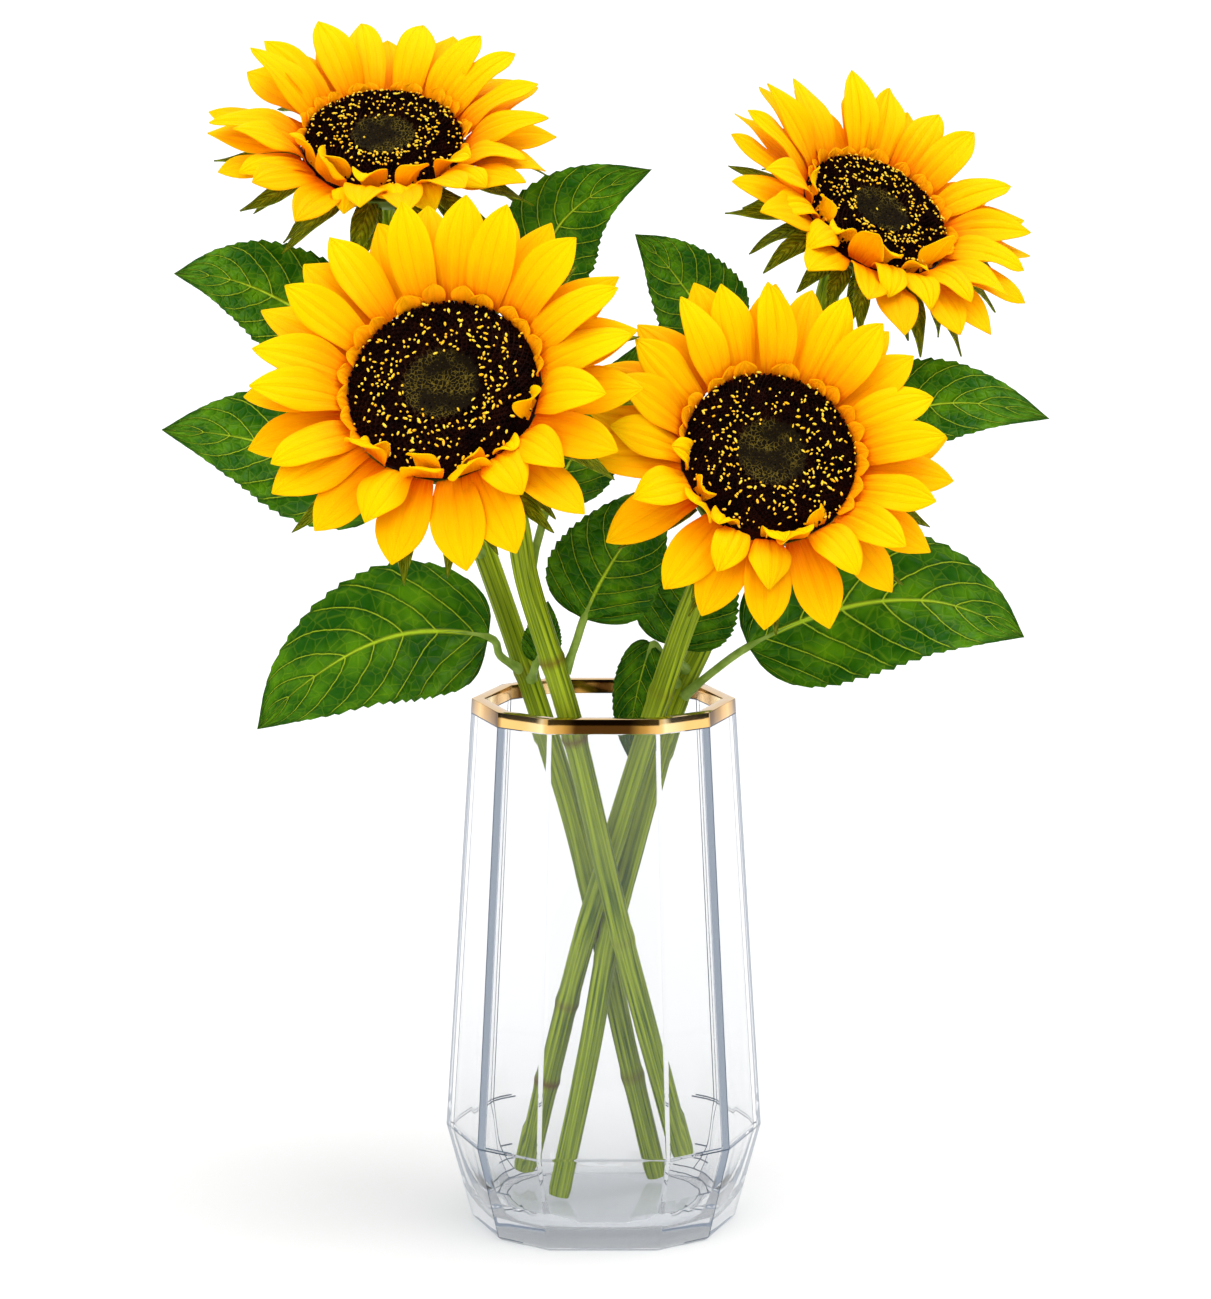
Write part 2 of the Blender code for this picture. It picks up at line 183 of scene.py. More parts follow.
def add(tree, kind, inputs=None, **settings):
    made = tree.nodes.new(kind)
    for key, value in settings.items():
        setattr(made, key, value)
    for socket, value in (inputs or {}).items():
        if isinstance(value, bpy.types.NodeSocket):
            tree.links.new(value, made.inputs[socket])
        else:
            made.inputs[socket].default_value = value
    return made


def maths(tree, operation, a, b=0.0, c=0.0):
    return add(tree, "ShaderNodeMath", {0: a, 1: b, 2: c}, operation=operation).outputs[0]


def ramp(tree, factor, stops):
    """A colour ramp; stops are (position, colour) with linear colours."""
    made = add(tree, "ShaderNodeValToRGB", {"Fac": factor})
    elements = made.color_ramp.elements
    while len(elements) < len(stops):
        elements.new(0.5)
    for element, (position, colour) in zip(elements, stops):
        element.position = position
        element.color = (*colour, 1.0)
    return made.outputs["Color"]


def fade(tree, value, low, high):
    """0 where value is at low, 1 where it is at high, and smooth between."""
    made = add(tree, "ShaderNodeMapRange", {"Value": value, "From Min": low, "From Max": high},
               interpolation_type="SMOOTHSTEP")
    return made.outputs["Result"]


def blend(tree, factor, a, b):
    """Colour a where factor is 0 and colour b where it is 1; each may be a socket or a colour."""
    made = tree.nodes.new("ShaderNodeMix")
    made.data_type = "RGBA"
    for socket, value in ((0, factor), (6, a), (7, b)):
        if isinstance(value, bpy.types.NodeSocket):
            tree.links.new(value, made.inputs[socket])
        elif socket == 0:
            made.inputs[0].default_value = value
        else:
            made.inputs[socket].default_value = (*value, 1.0)
    return made.outputs[2]


def attribute(tree, name, output="Fac"):
    return add(tree, "ShaderNodeAttribute", attribute_name=name).outputs[output]


def stretched(tree, vector, x, y, z):
    return add(tree, "ShaderNodeVectorMath", {0: vector, 1: (x, y, z)}, operation="MULTIPLY").outputs[0]


def noise(tree, vector, scale, detail=3.0):
    made = add(tree, "ShaderNodeTexNoise", {"Vector": vector, "Scale": scale, "Detail": detail})
    return made.outputs["Fac"]


def about(tree, value, middle, amount):
    """How far value is from middle, times amount."""
    return maths(tree, "MULTIPLY", maths(tree, "SUBTRACT", value, middle), amount)


def bump(tree, shader, height, distance, strength=1.0):
    made = add(tree, "ShaderNodeBump", {"Height": height, "Distance": distance, "Strength": strength})
    tree.links.new(made.outputs["Normal"], shader.inputs["Normal"])


# %% [markdown]
# ## Petal finish
# A ray floret is a thin sheet that glows where light passes through it: deep orange at its root, partly its
# own colour and partly painted shade, golden along the middle and lemon at the tip, with fine creases along
# its length whose valleys hold painted shade. The pattern has to follow each petal, so it reads the petal's
# own UV map, and a number stored per petal shifts its tone.

# %% Petal finish


def petal_finish(name, root, body, tip):
    finish, tree, shader = new_finish(name, 0.5)
    uv = add(tree, "ShaderNodeUVMap", uv_map="UVMap").outputs["UV"]
    split = add(tree, "ShaderNodeSeparateXYZ", {0: uv})
    across, along = split.outputs[0], split.outputs[1]
    tone = attribute(tree, "tone")
    lengthwise = noise(tree, stretched(tree, uv, 13.0, 0.9, 1.0), 1.0, 4.0)
    shifted = maths(tree, "ADD", along, maths(tree, "MULTIPLY", tone, 0.10))
    shifted = maths(tree, "ADD", shifted, about(tree, lengthwise, 0.5, 0.35))
    # the deeper orange towards the root is partly the petal's own colour and partly painted shade
    colour = ramp(tree, shifted, [(0.0, root), (0.16, tuple(0.5 * (r + b) for r, b in zip(root, body))),
                                  (0.42, body), (0.95, tip)])
    crease = maths(tree, "ABSOLUTE", maths(tree, "SINE", maths(tree, "MULTIPLY", across, 4 * math.pi)))
    # painted shade: the valleys of the creases are painted a deeper orange
    painted_crease_shade = maths(tree, "MULTIPLY", fade(tree, crease, 0.30, 0.0), 0.38)
    colour = blend(tree, painted_crease_shade, colour, (0.98, 0.33, 0.0))
    tree.links.new(colour, shader.inputs["Base Color"])
    shader.inputs["Specular IOR Level"].default_value = 0.02
    shader.inputs["Subsurface Weight"].default_value = 0.22
    shader.inputs["Subsurface Radius"].default_value = (1.0, 0.45, 0.02)
    shader.inputs["Subsurface Scale"].default_value = 0.004
    height = maths(tree, "ADD", maths(tree, "MULTIPLY", crease, 0.5), lengthwise)
    bump(tree, shader, height, 0.0007, 0.7)
    return finish


PETAL_YELLOW = petal_finish("petal_yellow", (0.80, 0.15, 0.001), (1.0, 0.45, 0.0), (1.0, 0.56, 0.0))
PETAL_GOLDEN = petal_finish("petal_golden", (0.80, 0.13, 0.001), (1.0, 0.38, 0.0), (1.0, 0.50, 0.0))
PETAL_ORANGE = petal_finish("petal_orange", (0.65, 0.09, 0.001), (1.0, 0.27, 0.001), (1.0, 0.40, 0.001))

# %% [markdown]
# ## Leaf, bract and stem finishes
# A leaf is deep glossy green with a bright midrib, side veins that sweep forward, and a fine net
# between them. The same two numbers, across and along, drive the colour and the relief.

# %% Leaf and bract finish
VEIN_PAIRS = 8
VEIN_SWEEP, VEIN_BEND = 0.30, 1.25


def leaf_finish(name, dark, light, vein, net=True, gloss=0.42):
    finish, tree, shader = new_finish(name, gloss)
    uv = add(tree, "ShaderNodeUVMap", uv_map="UVMap").outputs["UV"]
    split = add(tree, "ShaderNodeSeparateXYZ", {0: uv})
    doubled = maths(tree, "MULTIPLY", split.outputs[0], 2.0)
    side = maths(tree, "ABSOLUTE", maths(tree, "SUBTRACT", doubled, 1.0))  # 0 on the midrib, 1 at the edge
    along = split.outputs[1]
    bent = maths(tree, "MULTIPLY", maths(tree, "POWER", side, VEIN_BEND), VEIN_SWEEP)
    swept = maths(tree, "SUBTRACT", along, bent)
    wander = noise(tree, stretched(tree, uv, 5.0, 9.0, 1.0), 1.0, 2.0)
    swept = maths(tree, "ADD", swept, about(tree, wander, 0.5, 0.03))
    cell = maths(tree, "FRACT", maths(tree, "MULTIPLY", swept, VEIN_PAIRS))
    apart = maths(tree, "ABSOLUTE", maths(tree, "SUBTRACT", cell, 0.5))
    side_vein = maths(tree, "MULTIPLY", fade(tree, apart, 0.050, 0.012), fade(tree, side, 1.0, 0.80))
    rib_width = maths(tree, "SUBTRACT", 0.062, maths(tree, "MULTIPLY", along, 0.035))
    midrib = fade(tree, maths(tree, "SUBTRACT", side, rib_width), 0.0, -0.04)
    veins = maths(tree, "MAXIMUM", midrib, maths(tree, "MULTIPLY", side_vein, 0.9))
    pocket = fade(tree, apart, 0.0, 0.5)
    height = maths(tree, "MULTIPLY", pocket, -0.8)
    if net:
        mesh_place = stretched(tree, uv, 11.0, 22.0, 1.0)
        cells = add(tree, "ShaderNodeTexVoronoi", {"Vector": mesh_place, "Scale": 1.0},
                    feature="DISTANCE_TO_EDGE").outputs["Distance"]
        fine = fade(tree, cells, 0.07, 0.0)
        veins = maths(tree, "MAXIMUM", veins, maths(tree, "MULTIPLY", fine, 0.10))
        height = maths(tree, "ADD", height, maths(tree, "MULTIPLY", fade(tree, cells, 0.0, 0.35), 0.45))
    blotch = noise(tree, stretched(tree, uv, 3.0, 6.0, 1.0), 1.0, 4.0)
    colour = blend(tree, fade(tree, blotch, 0.35, 0.70), dark, light)
    # painted shade: the furrows beside the veins are painted a darker copy of the leaf green
    painted_furrow_shade = maths(tree, "MULTIPLY", fade(tree, apart, 0.20, 0.05), 0.55)
    colour = blend(tree, painted_furrow_shade, colour, tuple(channel * 0.6 for channel in dark))
    colour = blend(tree, maths(tree, "MULTIPLY", veins, 0.95), colour, vein)
    tree.links.new(colour, shader.inputs["Base Color"])
    shader.inputs["Specular IOR Level"].default_value = 0.10
    bump(tree, shader, maths(tree, "ADD", height, maths(tree, "MULTIPLY", veins, 1.2)), 0.0010, 1.0)
    return finish


LEAF_GREEN = leaf_finish("leaf_green", (0.010, 0.080, 0.0004), (0.080, 0.225, 0.0008), (0.42, 0.60, 0.020))
BRACT_GREEN = leaf_finish("bract_green", (0.13, 0.18, 0.001), (0.36, 0.42, 0.006), (0.50, 0.60, 0.04),
                          net=False, gloss=0.5)

# %% [markdown]
# A stem is ribbed and downy. Its pattern is laid on the stem while it was still straight, so each
# vertex carries its straight place as an attribute, and a second attribute marks the brown scars.

# %% Stem finish


def stem_finish():
    finish, tree, shader = new_finish("stem_green", 0.5)
    straight = attribute(tree, "straight", "Vector")
    ribs = noise(tree, stretched(tree, straight, 900.0, 900.0, 22.0), 1.0, 3.0)
    patches = noise(tree, stretched(tree, straight, 60.0, 60.0, 25.0), 1.0, 3.0)
    colour = blend(tree, fade(tree, ribs, 0.32, 0.68), (0.045, 0.100, 0.0005), (0.36, 0.46, 0.012))
    pale = maths(tree, "MULTIPLY", fade(tree, patches, 0.45, 0.75), 0.4)
    colour = blend(tree, pale, colour, (0.34, 0.42, 0.05))
    scarred = maths(tree, "MULTIPLY", attribute(tree, "scar"), 0.9)
    colour = blend(tree, scarred, colour, (0.13, 0.055, 0.008))
    tree.links.new(colour, shader.inputs["Base Color"])
    shader.inputs["Specular IOR Level"].default_value = 0.08
    bump(tree, shader, ribs, 0.0008, 0.8)
    return finish


STEM_GREEN = stem_finish()

# %% [markdown]
# ## Disc finishes
# The disc is a field of nearly black florets. The buds in the middle are still closed: a fine olive
# net there. Round them stand open florets with golden pollen on top.

# %% Disc finishes


def disc_finish():
    finish, tree, shader = new_finish("disc_brown", 0.6)
    share = attribute(tree, "share")
    place = add(tree, "ShaderNodeTexCoord").outputs["Object"]
    net = add(tree, "ShaderNodeTexVoronoi", {"Vector": place, "Scale": 620.0},
              feature="DISTANCE_TO_EDGE").outputs["Distance"]
    patch = noise(tree, place, 90.0, 2.0)
    line = maths(tree, "MULTIPLY", fade(tree, net, 0.12, 0.0), fade(tree, patch, 0.42, 0.62))
    middle = blend(tree, line, (0.008, 0.005, 0.002), (0.12, 0.085, 0.010))
    outer = blend(tree, fade(tree, patch, 0.35, 0.65), (0.004, 0.001, 0.001), (0.020, 0.004, 0.002))
    colour = blend(tree, fade(tree, share, 0.34, 0.46), middle, outer)
    tree.links.new(colour, shader.inputs["Base Color"])
    shader.inputs["Specular IOR Level"].default_value = 0.03
    bump(tree, shader, net, 0.0006, 0.8)
    return finish


def plain_speckled(name, colour, other, roughness, scale, specular=0.2):
    finish, tree, shader = new_finish(name, roughness)
    shader.inputs["Specular IOR Level"].default_value = specular
    place = add(tree, "ShaderNodeTexCoord").outputs["Object"]
    grain = noise(tree, place, scale, 3.0)
    tree.links.new(blend(tree, fade(tree, grain, 0.35, 0.65), colour, other), shader.inputs["Base Color"])
    return finish


DISC_BROWN = disc_finish()
FLORET_BROWN = plain_speckled("floret_brown", (0.002, 0.0005, 0.0004), (0.014, 0.003, 0.0015),
                              0.5, 260.0, 0.05)
FLORET_OLIVE = plain_speckled("floret_olive", (0.004, 0.003, 0.001), (0.050, 0.034, 0.005),
                              0.6, 500.0, 0.03)
POLLEN_GOLD = plain_speckled("pollen_gold", (1.0, 0.50, 0.01), (1.0, 0.72, 0.06), 0.5, 400.0, 0.05)

# %% [markdown]
# ## Glass and gold
# Clear glass is a transmitting surface, here with an index of 1.4, because 1.5 mirrors too much of the
# white floor. Light that only casts a shadow is let straight through, because real glass this clear
# throws hardly any shadow. Inside, the glass takes a little light away, so its thick base looks deeper.

# %% Glass and gold finishes
PAINTED_GREY_AFTER = 5.5  # past this many surfaces the glass shows a painted grey glow instead of bending light


def glass_finish(name, tint):
    finish, tree, shader = new_finish(name, 0.0)
    shader.inputs["Base Color"].default_value = (*tint, 1.0)
    shader.inputs["Transmission Weight"].default_value = 1.0
    shader.inputs["IOR"].default_value = 1.4
    output = tree.nodes["Material Output"]
    path = add(tree, "ShaderNodeLightPath")
    clear = add(tree, "ShaderNodeBsdfTransparent", {"Color": (0.90, 0.91, 0.925, 1.0)})
    straight = maths(tree, "MAXIMUM", path.outputs["Is Shadow Ray"], path.outputs["Is Diffuse Ray"])
    # painted light: deep in the walls the glass glows grey, to draw grey lines and shade in the thick glass
    painted_grey_depth = maths(tree, "GREATER_THAN", path.outputs["Ray Depth"], PAINTED_GREY_AFTER)
    painted_grey_glow = add(tree, "ShaderNodeEmission", {"Color": (0.36, 0.41, 0.48, 1.0), "Strength": 1.0})
    body = add(tree, "ShaderNodeMixShader", {0: painted_grey_depth, 1: shader.outputs[0], 2: painted_grey_glow.outputs[0]})
    whole = add(tree, "ShaderNodeMixShader", {0: straight, 1: body.outputs[0], 2: clear.outputs[0]})
    tree.links.new(whole.outputs[0], output.inputs["Surface"])
    depth = add(tree, "ShaderNodeVolumeAbsorption", {"Color": (0.42, 0.50, 0.62, 1.0), "Density": 3.0})
    tree.links.new(depth.outputs[0], output.inputs["Volume"])
    return finish


def gold_finish():
    """Polished gold with painted reflections: dark and bright bands are painted round it, and its top edge
    is painted pale as a highlight.
    """
    finish, tree, shader = new_finish("gold", 0.10)
    shader.inputs["Metallic"].default_value = 1.0
    place = add(tree, "ShaderNodeTexCoord").outputs["Object"]
    split = add(tree, "ShaderNodeSeparateXYZ", {0: place})
    side = maths(tree, "ABSOLUTE", split.outputs[0])
    bearing = maths(tree, "ARCTAN2", side, maths(tree, "MULTIPLY", split.outputs[1], -1.0))
    degrees = maths(tree, "MULTIPLY", bearing, 180 / math.pi)
    cloud = noise(tree, stretched(tree, place, 1.0, 1.0, 0.1), 70.0, 2.0)
    shifted = maths(tree, "ADD", degrees, about(tree, cloud, 0.5, 14.0))
    # painted reflections: dark and bright bands set by the bearing round the vase
    deep, mid = (0.07, 0.028, 0.005), (0.50, 0.26, 0.05)
    pale, bright = (0.90, 0.55, 0.19), (1.0, 0.78, 0.42)
    painted_reflection_bands = ramp(tree, maths(tree, "DIVIDE", shifted, 180.0), [
        (0.0, deep), (0.06, deep), (0.10, mid), (0.135, pale), (0.15, bright), (0.22, pale), (0.285, pale),
        (0.30, deep), (0.37, mid), (0.43, pale), (0.49, deep), (0.54, bright), (0.60, mid), (0.66, pale),
        (0.74, deep), (0.80, mid), (0.84, bright), (0.89, deep), (0.93, mid), (1.0, deep)])
    # painted highlight: faces that point up are painted pale
    normal = add(tree, "ShaderNodeNewGeometry").outputs["Normal"]
    level = add(tree, "ShaderNodeSeparateXYZ", {0: normal}).outputs[2]
    colour = blend(tree, fade(tree, level, 0.6, 0.9), painted_reflection_bands, (0.95, 0.62, 0.27))
    tree.links.new(colour, shader.inputs["Base Color"])
    return finish


CLEAR_GLASS = glass_finish("clear_glass", (0.910, 0.914, 0.922))
# a dark glass for the bevels on the side corners: painted shade that draws dark lines along those edges
GLASS_EDGE_PAINTED_SHADE = glass_finish("glass_edge", (0.05, 0.08, 0.13))
GOLD = gold_finish()

# %% [markdown]
# ## The vase
# The real vase is pressed glass: ten flat facets, widest at a low shoulder, a thick foot and a cavity
# that ends in a rounded bowl. It is one solid, so it is pulled up in one go: foot, shoulder, lip, and
# then back down inside. Each facet gets extra points along it, so that the bowl can turn round.

# %% Vase rings
CORNER_ANGLES = (24.4, 51.8, 90.0, 128.2, 155.6, 204.4, 231.8, 270.0, 308.2, 335.6)
FOOT_RADIUS, SHOULDER_RADIUS, MOUTH_RADIUS = 55.2, 66.2, 54.8
SHOULDER_HEIGHT, VASE_HEIGHT, WALL = 41.0, 223.0, 5.0
RIM_HEIGHT, RIM_THICKNESS = 6.0, 0.5
POINTS_PER_FACET = 4
CUT_EDGE = math.radians(11)  # an edge that turns more than this is a cut edge, and is bevelled


def corner_radius(z):
    if z <= SHOULDER_HEIGHT:
        return FOOT_RADIUS + (SHOULDER_RADIUS - FOOT_RADIUS) * z / SHOULDER_HEIGHT
    share = (z - SHOULDER_HEIGHT) / (VASE_HEIGHT - SHOULDER_HEIGHT)
    return SHOULDER_RADIUS + (MOUTH_RADIUS - SHOULDER_RADIUS) * share


def facet_ring(z, depth=0.0, round_to=0.0, radius=None):
    """Points round the vase at height z: facets moved in by depth, and drawn to a circle by round_to."""
    size = corner_radius(z)
    corners = [Vector((size * math.sin(math.radians(a)), -size * math.cos(math.radians(a))))
               for a in CORNER_ANGLES]
    normals = []
    for here, after in zip(corners, corners[1:] + corners[:1]):
        edge = (after - here).normalized()
        normals.append(Vector((-edge.y, edge.x)))
    moved = []
    for i, corner in enumerate(corners):
        a, b = normals[i - 1], normals[i]
        moved.append(corner + (a + b) / (1.0 + a.dot(b)) * depth)
    ring = []
    for here, after in zip(moved, moved[1:] + moved[:1]):
        for k in range(POINTS_PER_FACET):
            p = here.lerp(after, k / POINTS_PER_FACET)
            if radius is not None:
                p = p.lerp(p.normalized() * radius, round_to)
            ring.append(Vector((p.x, p.y, z)) * MM)
    return ring


# %% Glass body
recess = RIM_THICKNESS + 0.15
low_lip = VASE_HEIGHT - RIM_HEIGHT
vase = start_ring("vase_glass_body", facet_ring(0.0, 1.4))
for z, depth in ((1.4, 0.0), (SHOULDER_HEIGHT, 0.0), (low_lip, 0.0), (low_lip, recess),
                 (VASE_HEIGHT - recess, recess), (VASE_HEIGHT - recess, WALL - recess),
                 (low_lip, WALL - recess), (low_lip, WALL), (SHOULDER_HEIGHT, WALL)):
    pull_ring(vase, facet_ring(z, depth))
# the bowl of the cavity: height, depth in from the facets, roundness, radius
for z, depth, turned, radius in ((30.0, 5.2, 0.04, 57.0), (22.0, 5.7, 0.12, 54.0), (16.5, 7.0, 0.35, 50.5),
                                 (12.5, 9.0, 0.70, 47.5), (10.2, 12.0, 0.95, 44.5), (8.8, 15.5, 1.0, 40.5),
                                 (8.1, 20.0, 1.0, 35.5), (8.0, 25.0, 1.0, 29.0)):
    pull_ring(vase, facet_ring(z, depth, turned, radius))
end_rings(vase)
vase.data.materials.append(CLEAR_GLASS)
vase.data.materials.append(GLASS_EDGE_PAINTED_SHADE)
# the bevels take the second finish, the dark glass that paints shade along the cut edges
apply_modifier(vase, "BEVEL", width=0.0004, segments=3, limit_method="ANGLE",
               angle_limit=CUT_EDGE, material=1)
front_edge = math.radians(38)  # the corners nearer the front and back than this get the clear glass back, without the painted dark edge
for face in vase.data.polygons:
    if face.material_index and math.atan2(abs(face.center.x), abs(face.center.y)) < front_edge:
        face.material_index = 0
smooth(vase, 9)
hand_over(vase, None, "clear_glass", "vase_glass")

# %% [markdown]
# The gold is a band fired over the lip: outside, top and inside. It is a closed loop of rings, whose
# last ring is merged into its first.

# %% Gold rim
band = [(low_lip, 0.0), (VASE_HEIGHT, 0.0), (VASE_HEIGHT, WALL), (low_lip, WALL),
        (low_lip, WALL - RIM_THICKNESS), (VASE_HEIGHT - RIM_THICKNESS, WALL - RIM_THICKNESS),
        (VASE_HEIGHT - RIM_THICKNESS, RIM_THICKNESS), (low_lip, RIM_THICKNESS), (low_lip, 0.0)]
rim = start_ring("gold_rim_band", facet_ring(*band[0]), filled=False)
for z, depth in band[1:]:
    pull_ring(rim, facet_ring(z, depth))
end_rings(rim, merge=1e-6)
apply_modifier(rim, "BEVEL", width=0.0005, segments=2, limit_method="ANGLE", angle_limit=CUT_EDGE)
smooth(rim, 25)
hand_over(rim, GOLD, "gold", "gold_rim")

# %% [markdown]
# ## Stems
# Each stem is one long extrusion from its cut end, ring by ring along its bent centre line. The same
# line is in the CAD model. Each ring also keeps the place it would have on a straight stem, for the
# pattern of ribs to follow. A few rings swell where a leaf once sat.

# %% Centre lines, heads and curve helpers
HEADS = {
    "back_left": ((-92, 50, 450.5), (0, -0.54, 0.84), 34.0, 74.0, 4.0, 0.02),
    "front_left": ((-63, -92, 363), (-0.16, -0.81, 0.56), 38.5, 80.0, 0.0, 0.06),
    "back_right": ((114, 40, 420.5), (0.43, -0.55, 0.72), 32.5, 72.0, 8.0, 0.05),
    "front_right": ((66, -74, 334), (0.18, -0.85, 0.50), 35.5, 74.0, 6.0, 0.04),
}
STEMS = {
    "back_left": (
        (23, 26, 10.5), (10, 17, 67.5), (-1.5, 13, 121.5), (-16, 12.5, 180.5),
        (-37, 23, 244), (-69, 46, 334), (-82, 60, 387),
    ),
    "front_left": (
        (33, 21.5, 22), (21, 8, 69.5), (9, -8, 118.5), (0, -19.5, 159),
        (-14, -36, 222), (-30, -49, 277), (-37, -56, 311),
    ),
    "front_right": (
        (-33, 23, 14.5), (-21, 13, 68.5), (-9.5, 3, 116), (1, -5, 153),
        (20.5, -20, 219), (38, -34, 273),
    ),
    "back_right": (
        (-19.5, -8, 10.5), (-6.5, -2.5, 71.5), (2, 2.5, 118.5), (11, 6, 153.5),
        (28, 13, 213), (42, 20, 244), (59, 31, 285), (80, 47, 342), (91, 56, 371),
    ),
}
# heights of the old leaf scars on each stem
SCARS = {"back_left": (57.0, 122.0, 232.0), "front_left": (124.0, 213.0, 246.0),
         "front_right": (56.0, 92.0, 229.0), "back_right": (114.0, 126.0, 218.0)}


def curve_point(points, t):
    """Catmull-Rom curve through the points, t from 0 to 1."""
    spans = len(points) - 1
    position = min(max(t, 0.0), 1.0) * spans
    i = min(int(position), spans - 1)
    u = position - i
    p1, p2 = Vector(points[i]), Vector(points[i + 1])
    p0 = Vector(points[i - 1]) if i > 0 else 2 * p1 - p2
    p3 = Vector(points[i + 2]) if i + 2 <= spans else 2 * p2 - p1
    return 0.5 * (2 * p1 + (p2 - p0) * u + (2 * p0 - 5 * p1 + 4 * p2 - p3) * u * u
                  + (3 * p1 - p0 - 3 * p2 + p3) * u * u * u)


def curve_tangent(points, t, step=0.01):
    return (curve_point(points, t + step) - curve_point(points, t - step)).normalized()


def even_stations(points, count):
    """Values of t that space count stations evenly by length along the curve."""
    samples = [curve_point(points, k / 600) for k in range(601)]
    travelled = np.cumsum([0.0] + [(b - a).length for a, b in zip(samples, samples[1:])])
    stations = np.interp(np.linspace(0, travelled[-1], count), travelled, np.linspace(0, 1, 601))
    return stations.tolist(), float(travelled[-1])


for flower, line in STEMS.items():
    print(flower, "stem,", round(even_stations(line, 2)[1]), "mm to its neck")

# %% Stems
STEM_SIDES = 20


def stem_line(name):
    """The stem's centre line, ending with the straight neck that enters the head."""
    middle, facing = Vector(HEADS[name][0]), Vector(HEADS[name][1]).normalized()
    return list(STEMS[name]) + [tuple(middle - facing * back) for back in (42.0, 27.2)]


def stem_radius(t):
    return 4.6 + 0.5 * t


def build_stem(name):
    line = stem_line(name)
    stations, length = even_stations(line, 110)
    turn = 2 * math.pi / STEM_SIDES
    rings, straight, scars = [], [], []
    side = Vector((1, 0, 0))
    for k, t in enumerate(stations):
        centre, along = curve_point(line, t), curve_tangent(line, t)
        side = (side - along * side.dot(along)).normalized()
        up = along.cross(side)
        radius = stem_radius(t)
        swell = sum(math.exp(-((centre.z - z) / 2.6) ** 2) for z in SCARS[name])
        scar = sum(math.exp(-((centre.z - z) / 0.9) ** 2) for z in SCARS[name])
        radius *= 1.0 + 0.13 * min(swell, 1.0)
        if k == 0:
            radius *= 0.90
        ring, flat = [], []
        for i in range(STEM_SIDES):
            rib = 1.0 + 0.022 * math.sin(7 * turn * i + 1.3 * math.sin(t * 9))
            out = math.cos(turn * i) * side + math.sin(turn * i) * up
            ring.append((centre + radius * rib * out) * MM)
            flat.append((math.cos(turn * i) * 0.005, math.sin(turn * i) * 0.005, t * length * MM))
        rings.append(ring)
        straight.append(flat)
        scars.append(min(scar, 1.0))
    stem = start_ring("stem_" + name + "_stalk", rings[0])
    for ring in rings[1:]:
        pull_ring(stem, ring)
    end_rings(stem)
    paint_stem(stem, rings, straight, scars)
    smooth(stem, 50)
    return stem


def paint_stem(stem, rings, straight, scars):
    """Stores each vertex's straight place and its scar, found by the vertex's nearest ring point."""
    places = np.array([p for ring in rings for p in ring])
    flat = np.array([p for ring in straight for p in ring])
    marks = np.repeat(scars, STEM_SIDES)
    verts = np.array([v.co for v in stem.data.vertices])
    nearest = np.array([np.argmin(((places - v) ** 2).sum(axis=1)) for v in verts])
    laid = stem.data.attributes.new("straight", "FLOAT_VECTOR", "POINT")
    laid.data.foreach_set("vector", flat[nearest].ravel())
    store(stem, "scar", marks[nearest])


for flower in STEMS:
    hand_over(build_stem(flower), STEM_GREEN, "stem_green", "stem_" + flower)

# %% [markdown]
# ## Flower heads: a local frame
# All parts of a head are placed by an angle round the disc, a distance from its middle and a height
# above its face. Angle 0 is to the head's right and 90 degrees is its upper side. The petals on the
# side nearest the ground stand up and curl over, so the head also knows that side's angle.

# %% Head frame


class Head:
    def __init__(self, name):
        middle, facing, self.radius, self.reach, turn, self.far = HEADS[name]
        self.name = name
        self.middle = np.array(middle, float)
        z = Vector(facing).normalized()
        x = Vector((0, 0, 1)).cross(z).normalized()
        y = z.cross(x)
        self.x, self.y, self.z = (np.array(v) for v in (x, y, z))
        self.turn = math.radians(turn)
        front = np.array((0.0, -1.0, 0.1))
        self.near = math.atan2(front @ self.y, front @ self.x)

    def at(self, angle, radius, height, sideways=0.0):
        """World place in millimetres; every argument may be an array."""
        radius, height, sideways = (np.asarray(v, float)[..., None] for v in (radius, height, sideways))
        out = np.cos(angle) * self.x + np.sin(angle) * self.y
        across = -np.sin(angle) * self.x + np.cos(angle) * self.y
        return self.middle + out * radius + across * sideways + self.z * height

    def nearness(self, angle):
        return max(math.cos(angle - self.near), 0.0) ** 1.4

    def ring(self, radius, height, sides):
        return [Vector(self.at(2 * math.pi * i / sides, radius, height)) * MM for i in range(sides)]


# %% [markdown]
# ## Petals and bracts: one blade, laid many times
# A petal and a bract are both pointed blades. One flat blade is modelled as a grid. Each copy then gets
# its own length, curl, twist and crease, is laid on the head, and the row is joined and thickened.

# %% The flat blade and how it is laid
pick()
bpy.ops.mesh.primitive_grid_add(x_subdivisions=10, y_subdivisions=16, size=2.0)
BLADE = bpy.context.object
BLADE.name = "flat_blade"
flat_points = np.array([v.co for v in BLADE.data.vertices])
ACROSS, ALONG = flat_points[:, 0], (flat_points[:, 1] + 1.0) / 2.0
PETAL_OUTLINE = ((0.0, 0.12, 0.28, 0.42, 0.54, 0.67, 0.79, 0.89, 0.955, 1.0),
                 (0.62, 0.74, 0.90, 0.99, 1.0, 0.91, 0.72, 0.44, 0.21, 0.02))
BRACT_OUTLINE = ((0.0, 0.12, 0.30, 0.50, 0.70, 0.86, 0.95, 1.0),
                 (0.72, 0.92, 1.0, 0.86, 0.56, 0.27, 0.12, 0.02))


